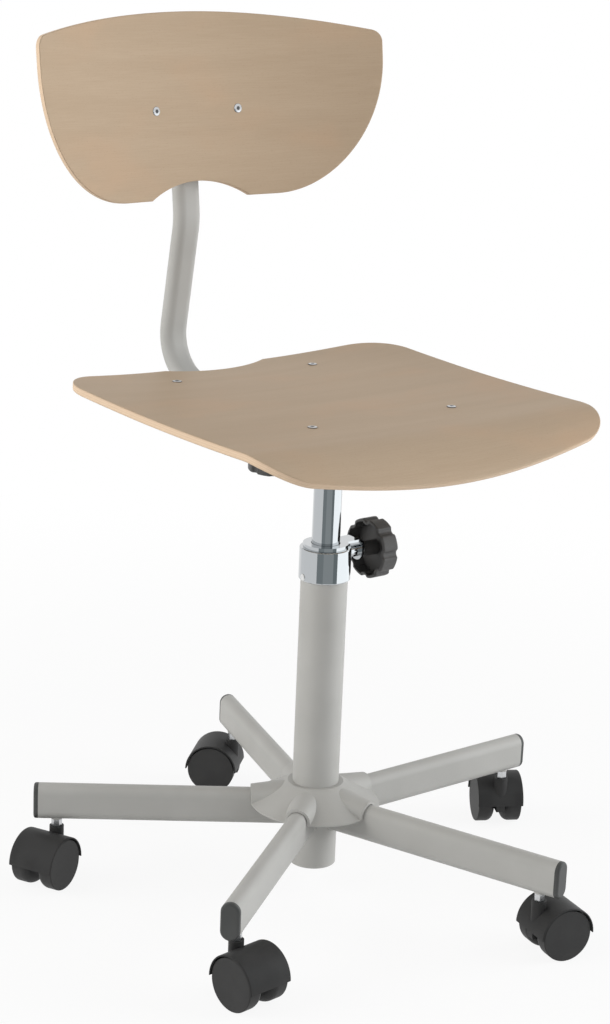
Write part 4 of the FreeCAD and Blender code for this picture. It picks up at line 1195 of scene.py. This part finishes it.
def card(name, start, end, level):
    """A bent card round the chair, seen only by mirrored rays; angles are from the camera's side."""
    angles = [start + (end - start) * i / CARD_STEPS for i in range(CARD_STEPS + 1)]
    turns = [math.radians(CAMERA_AZIMUTH + angle) for angle in angles]
    rims = [(CARD_RADIUS * math.cos(t), CARD_RADIUS * math.sin(t)) for t in turns]
    spots = [(x, y, z) for x, y in rims for z in (0.0, CARD_HEIGHT)]
    faces = [(2 * i, 2 * i + 1, 2 * i + 3, 2 * i + 2) for i in range(CARD_STEPS)]
    mesh = bpy.data.meshes.new(name)
    mesh.from_pydata(spots, [], faces)
    mesh.materials.append(finish(name, lambda bench: glow(bench, rgb(*level))))
    piece = new_piece(name, mesh)
    piece.visible_camera = False
    piece.visible_diffuse = False
    piece.visible_shadow = False


card("left_card", -130.0, -34.0, (0.88, 0.89, 0.90))
card("dark_card_left", -34.0, -6.0, (0.25, 0.28, 0.29))
card("dark_card_middle", -6.0, 38.0, (0.34, 0.37, 0.38))
card("dark_card_right", 38.0, 57.0, (0.20, 0.23, 0.24))
card("bright_card", 57.0, 137.0, (1.52, 1.57, 1.60))


# %% [markdown]
# The light itself is plain: two large soft boxes at the sides, which leave the tubes brighter there than
# in the middle, weak ones in front and above, and an even white room.
# A level of 1 would light a white card, head on, to full white, so the levels can be compared.
# A lamp of so many watts lights such a card to the watts over the square of pi times its distance,
# and the function turns that round to find the watts.

# %% Lights and world
LIGHT_AIM = Vector((0, 0, 0.45))
ROOM_LEVEL = 0.39
WARM, COOL, NEUTRAL = (1.0, 0.985, 0.96), (0.98, 0.99, 1.0), (1.0, 1.0, 1.0)


def soft_light(name, azimuth, height, distance, size, level, color):
    """A large area light aimed at the seat; level is its share of full white on a white card, head on."""
    turn = math.radians(CAMERA_AZIMUTH + azimuth)
    lamp = bpy.data.lights.new(name, "AREA")
    lamp.shape = "RECTANGLE"
    lamp.size, lamp.size_y = size
    lamp.color = color
    place = Vector((distance * math.cos(turn), distance * math.sin(turn), height))
    lamp.energy = level * math.pi ** 2 * (place - LIGHT_AIM).length_squared
    light = bpy.data.objects.new(name, lamp)
    light.location = place
    light.rotation_euler = (LIGHT_AIM - place).to_track_quat("-Z", "Y").to_euler()
    light.visible_glossy = False
    bpy.context.scene.collection.objects.link(light)
    print(name, "has a level of", level, "and", round(lamp.energy, 1), "watts")


soft_light("left_softbox", -75.0, height=1.3, distance=2.8, size=(2.2, 2.2), level=0.75, color=WARM)
soft_light("right_softbox", 92.0, height=1.2, distance=2.8, size=(2.2, 2.2), level=0.86, color=COOL)
soft_light("front_softbox", 8.0, height=0.7, distance=3.2, size=(2.0, 1.6), level=0.12, color=NEUTRAL)
soft_light("top_softbox", 20.0, height=3.2, distance=0.8, size=(2.4, 2.4), level=0.03, color=NEUTRAL)


def white_room(bench):
    level, white = [bench.add("ShaderNodeBackground", {}, {"Color": WHITE, "Strength": strength})
                    for strength in (ROOM_LEVEL, 1.0)]
    return bench.add("ShaderNodeMixShader", {}, {0: white_rays(bench), 1: level, 2: white})


world = bpy.data.worlds.new("white_room")
world.use_nodes = True
world.node_tree.nodes.clear()
room = Wire(world.node_tree)
room.add("ShaderNodeOutputWorld", {}, {"Surface": white_room(room)})
bpy.context.scene.world = world
bpy.context.scene.view_settings.view_transform = "Standard"

# %% [markdown]
# The camera stands where the photographer stood: its place, turn and lens were worked out from the five arms
# of the base, whose ends form a regular star. In an upright frame Blender lays the sensor's width along
# the frame's height, so the lens follows from the height in pixels.

# %% Camera
CAMERA_PLACE = Vector((-1.4562, -1.7769, 1.0707))
CAMERA_YAW = math.radians(51.24)
CAMERA_PITCH = math.radians(-15.81)
CAMERA_ROLL = math.radians(-2.32)
FOCAL_PIXELS = 2284.0
IMAGE_HEIGHT = 1024.0
SENSOR = 36.0

level_reach = math.cos(CAMERA_PITCH)
forward = Vector((level_reach * math.cos(CAMERA_YAW), level_reach * math.sin(CAMERA_YAW),
                  math.sin(CAMERA_PITCH)))
level_right = Vector((math.sin(CAMERA_YAW), -math.cos(CAMERA_YAW), 0))
level_down = forward.cross(level_right)
right = level_right * math.cos(CAMERA_ROLL) + level_down * math.sin(CAMERA_ROLL)
down = level_down * math.cos(CAMERA_ROLL) - level_right * math.sin(CAMERA_ROLL)
lens = bpy.data.cameras.new("camera")
lens.sensor_width = SENSOR
lens.lens = FOCAL_PIXELS * SENSOR / IMAGE_HEIGHT
camera = bpy.data.objects.new("camera", lens)
axes = Matrix((right, -down, -forward)).transposed().to_4x4()
camera.matrix_world = Matrix.Translation(CAMERA_PLACE) @ axes
bpy.context.scene.collection.objects.link(camera)
bpy.context.scene.camera = camera
print("camera looks along", [round(c, 3) for c in forward], "with a lens of", round(lens.lens, 1), "mm")
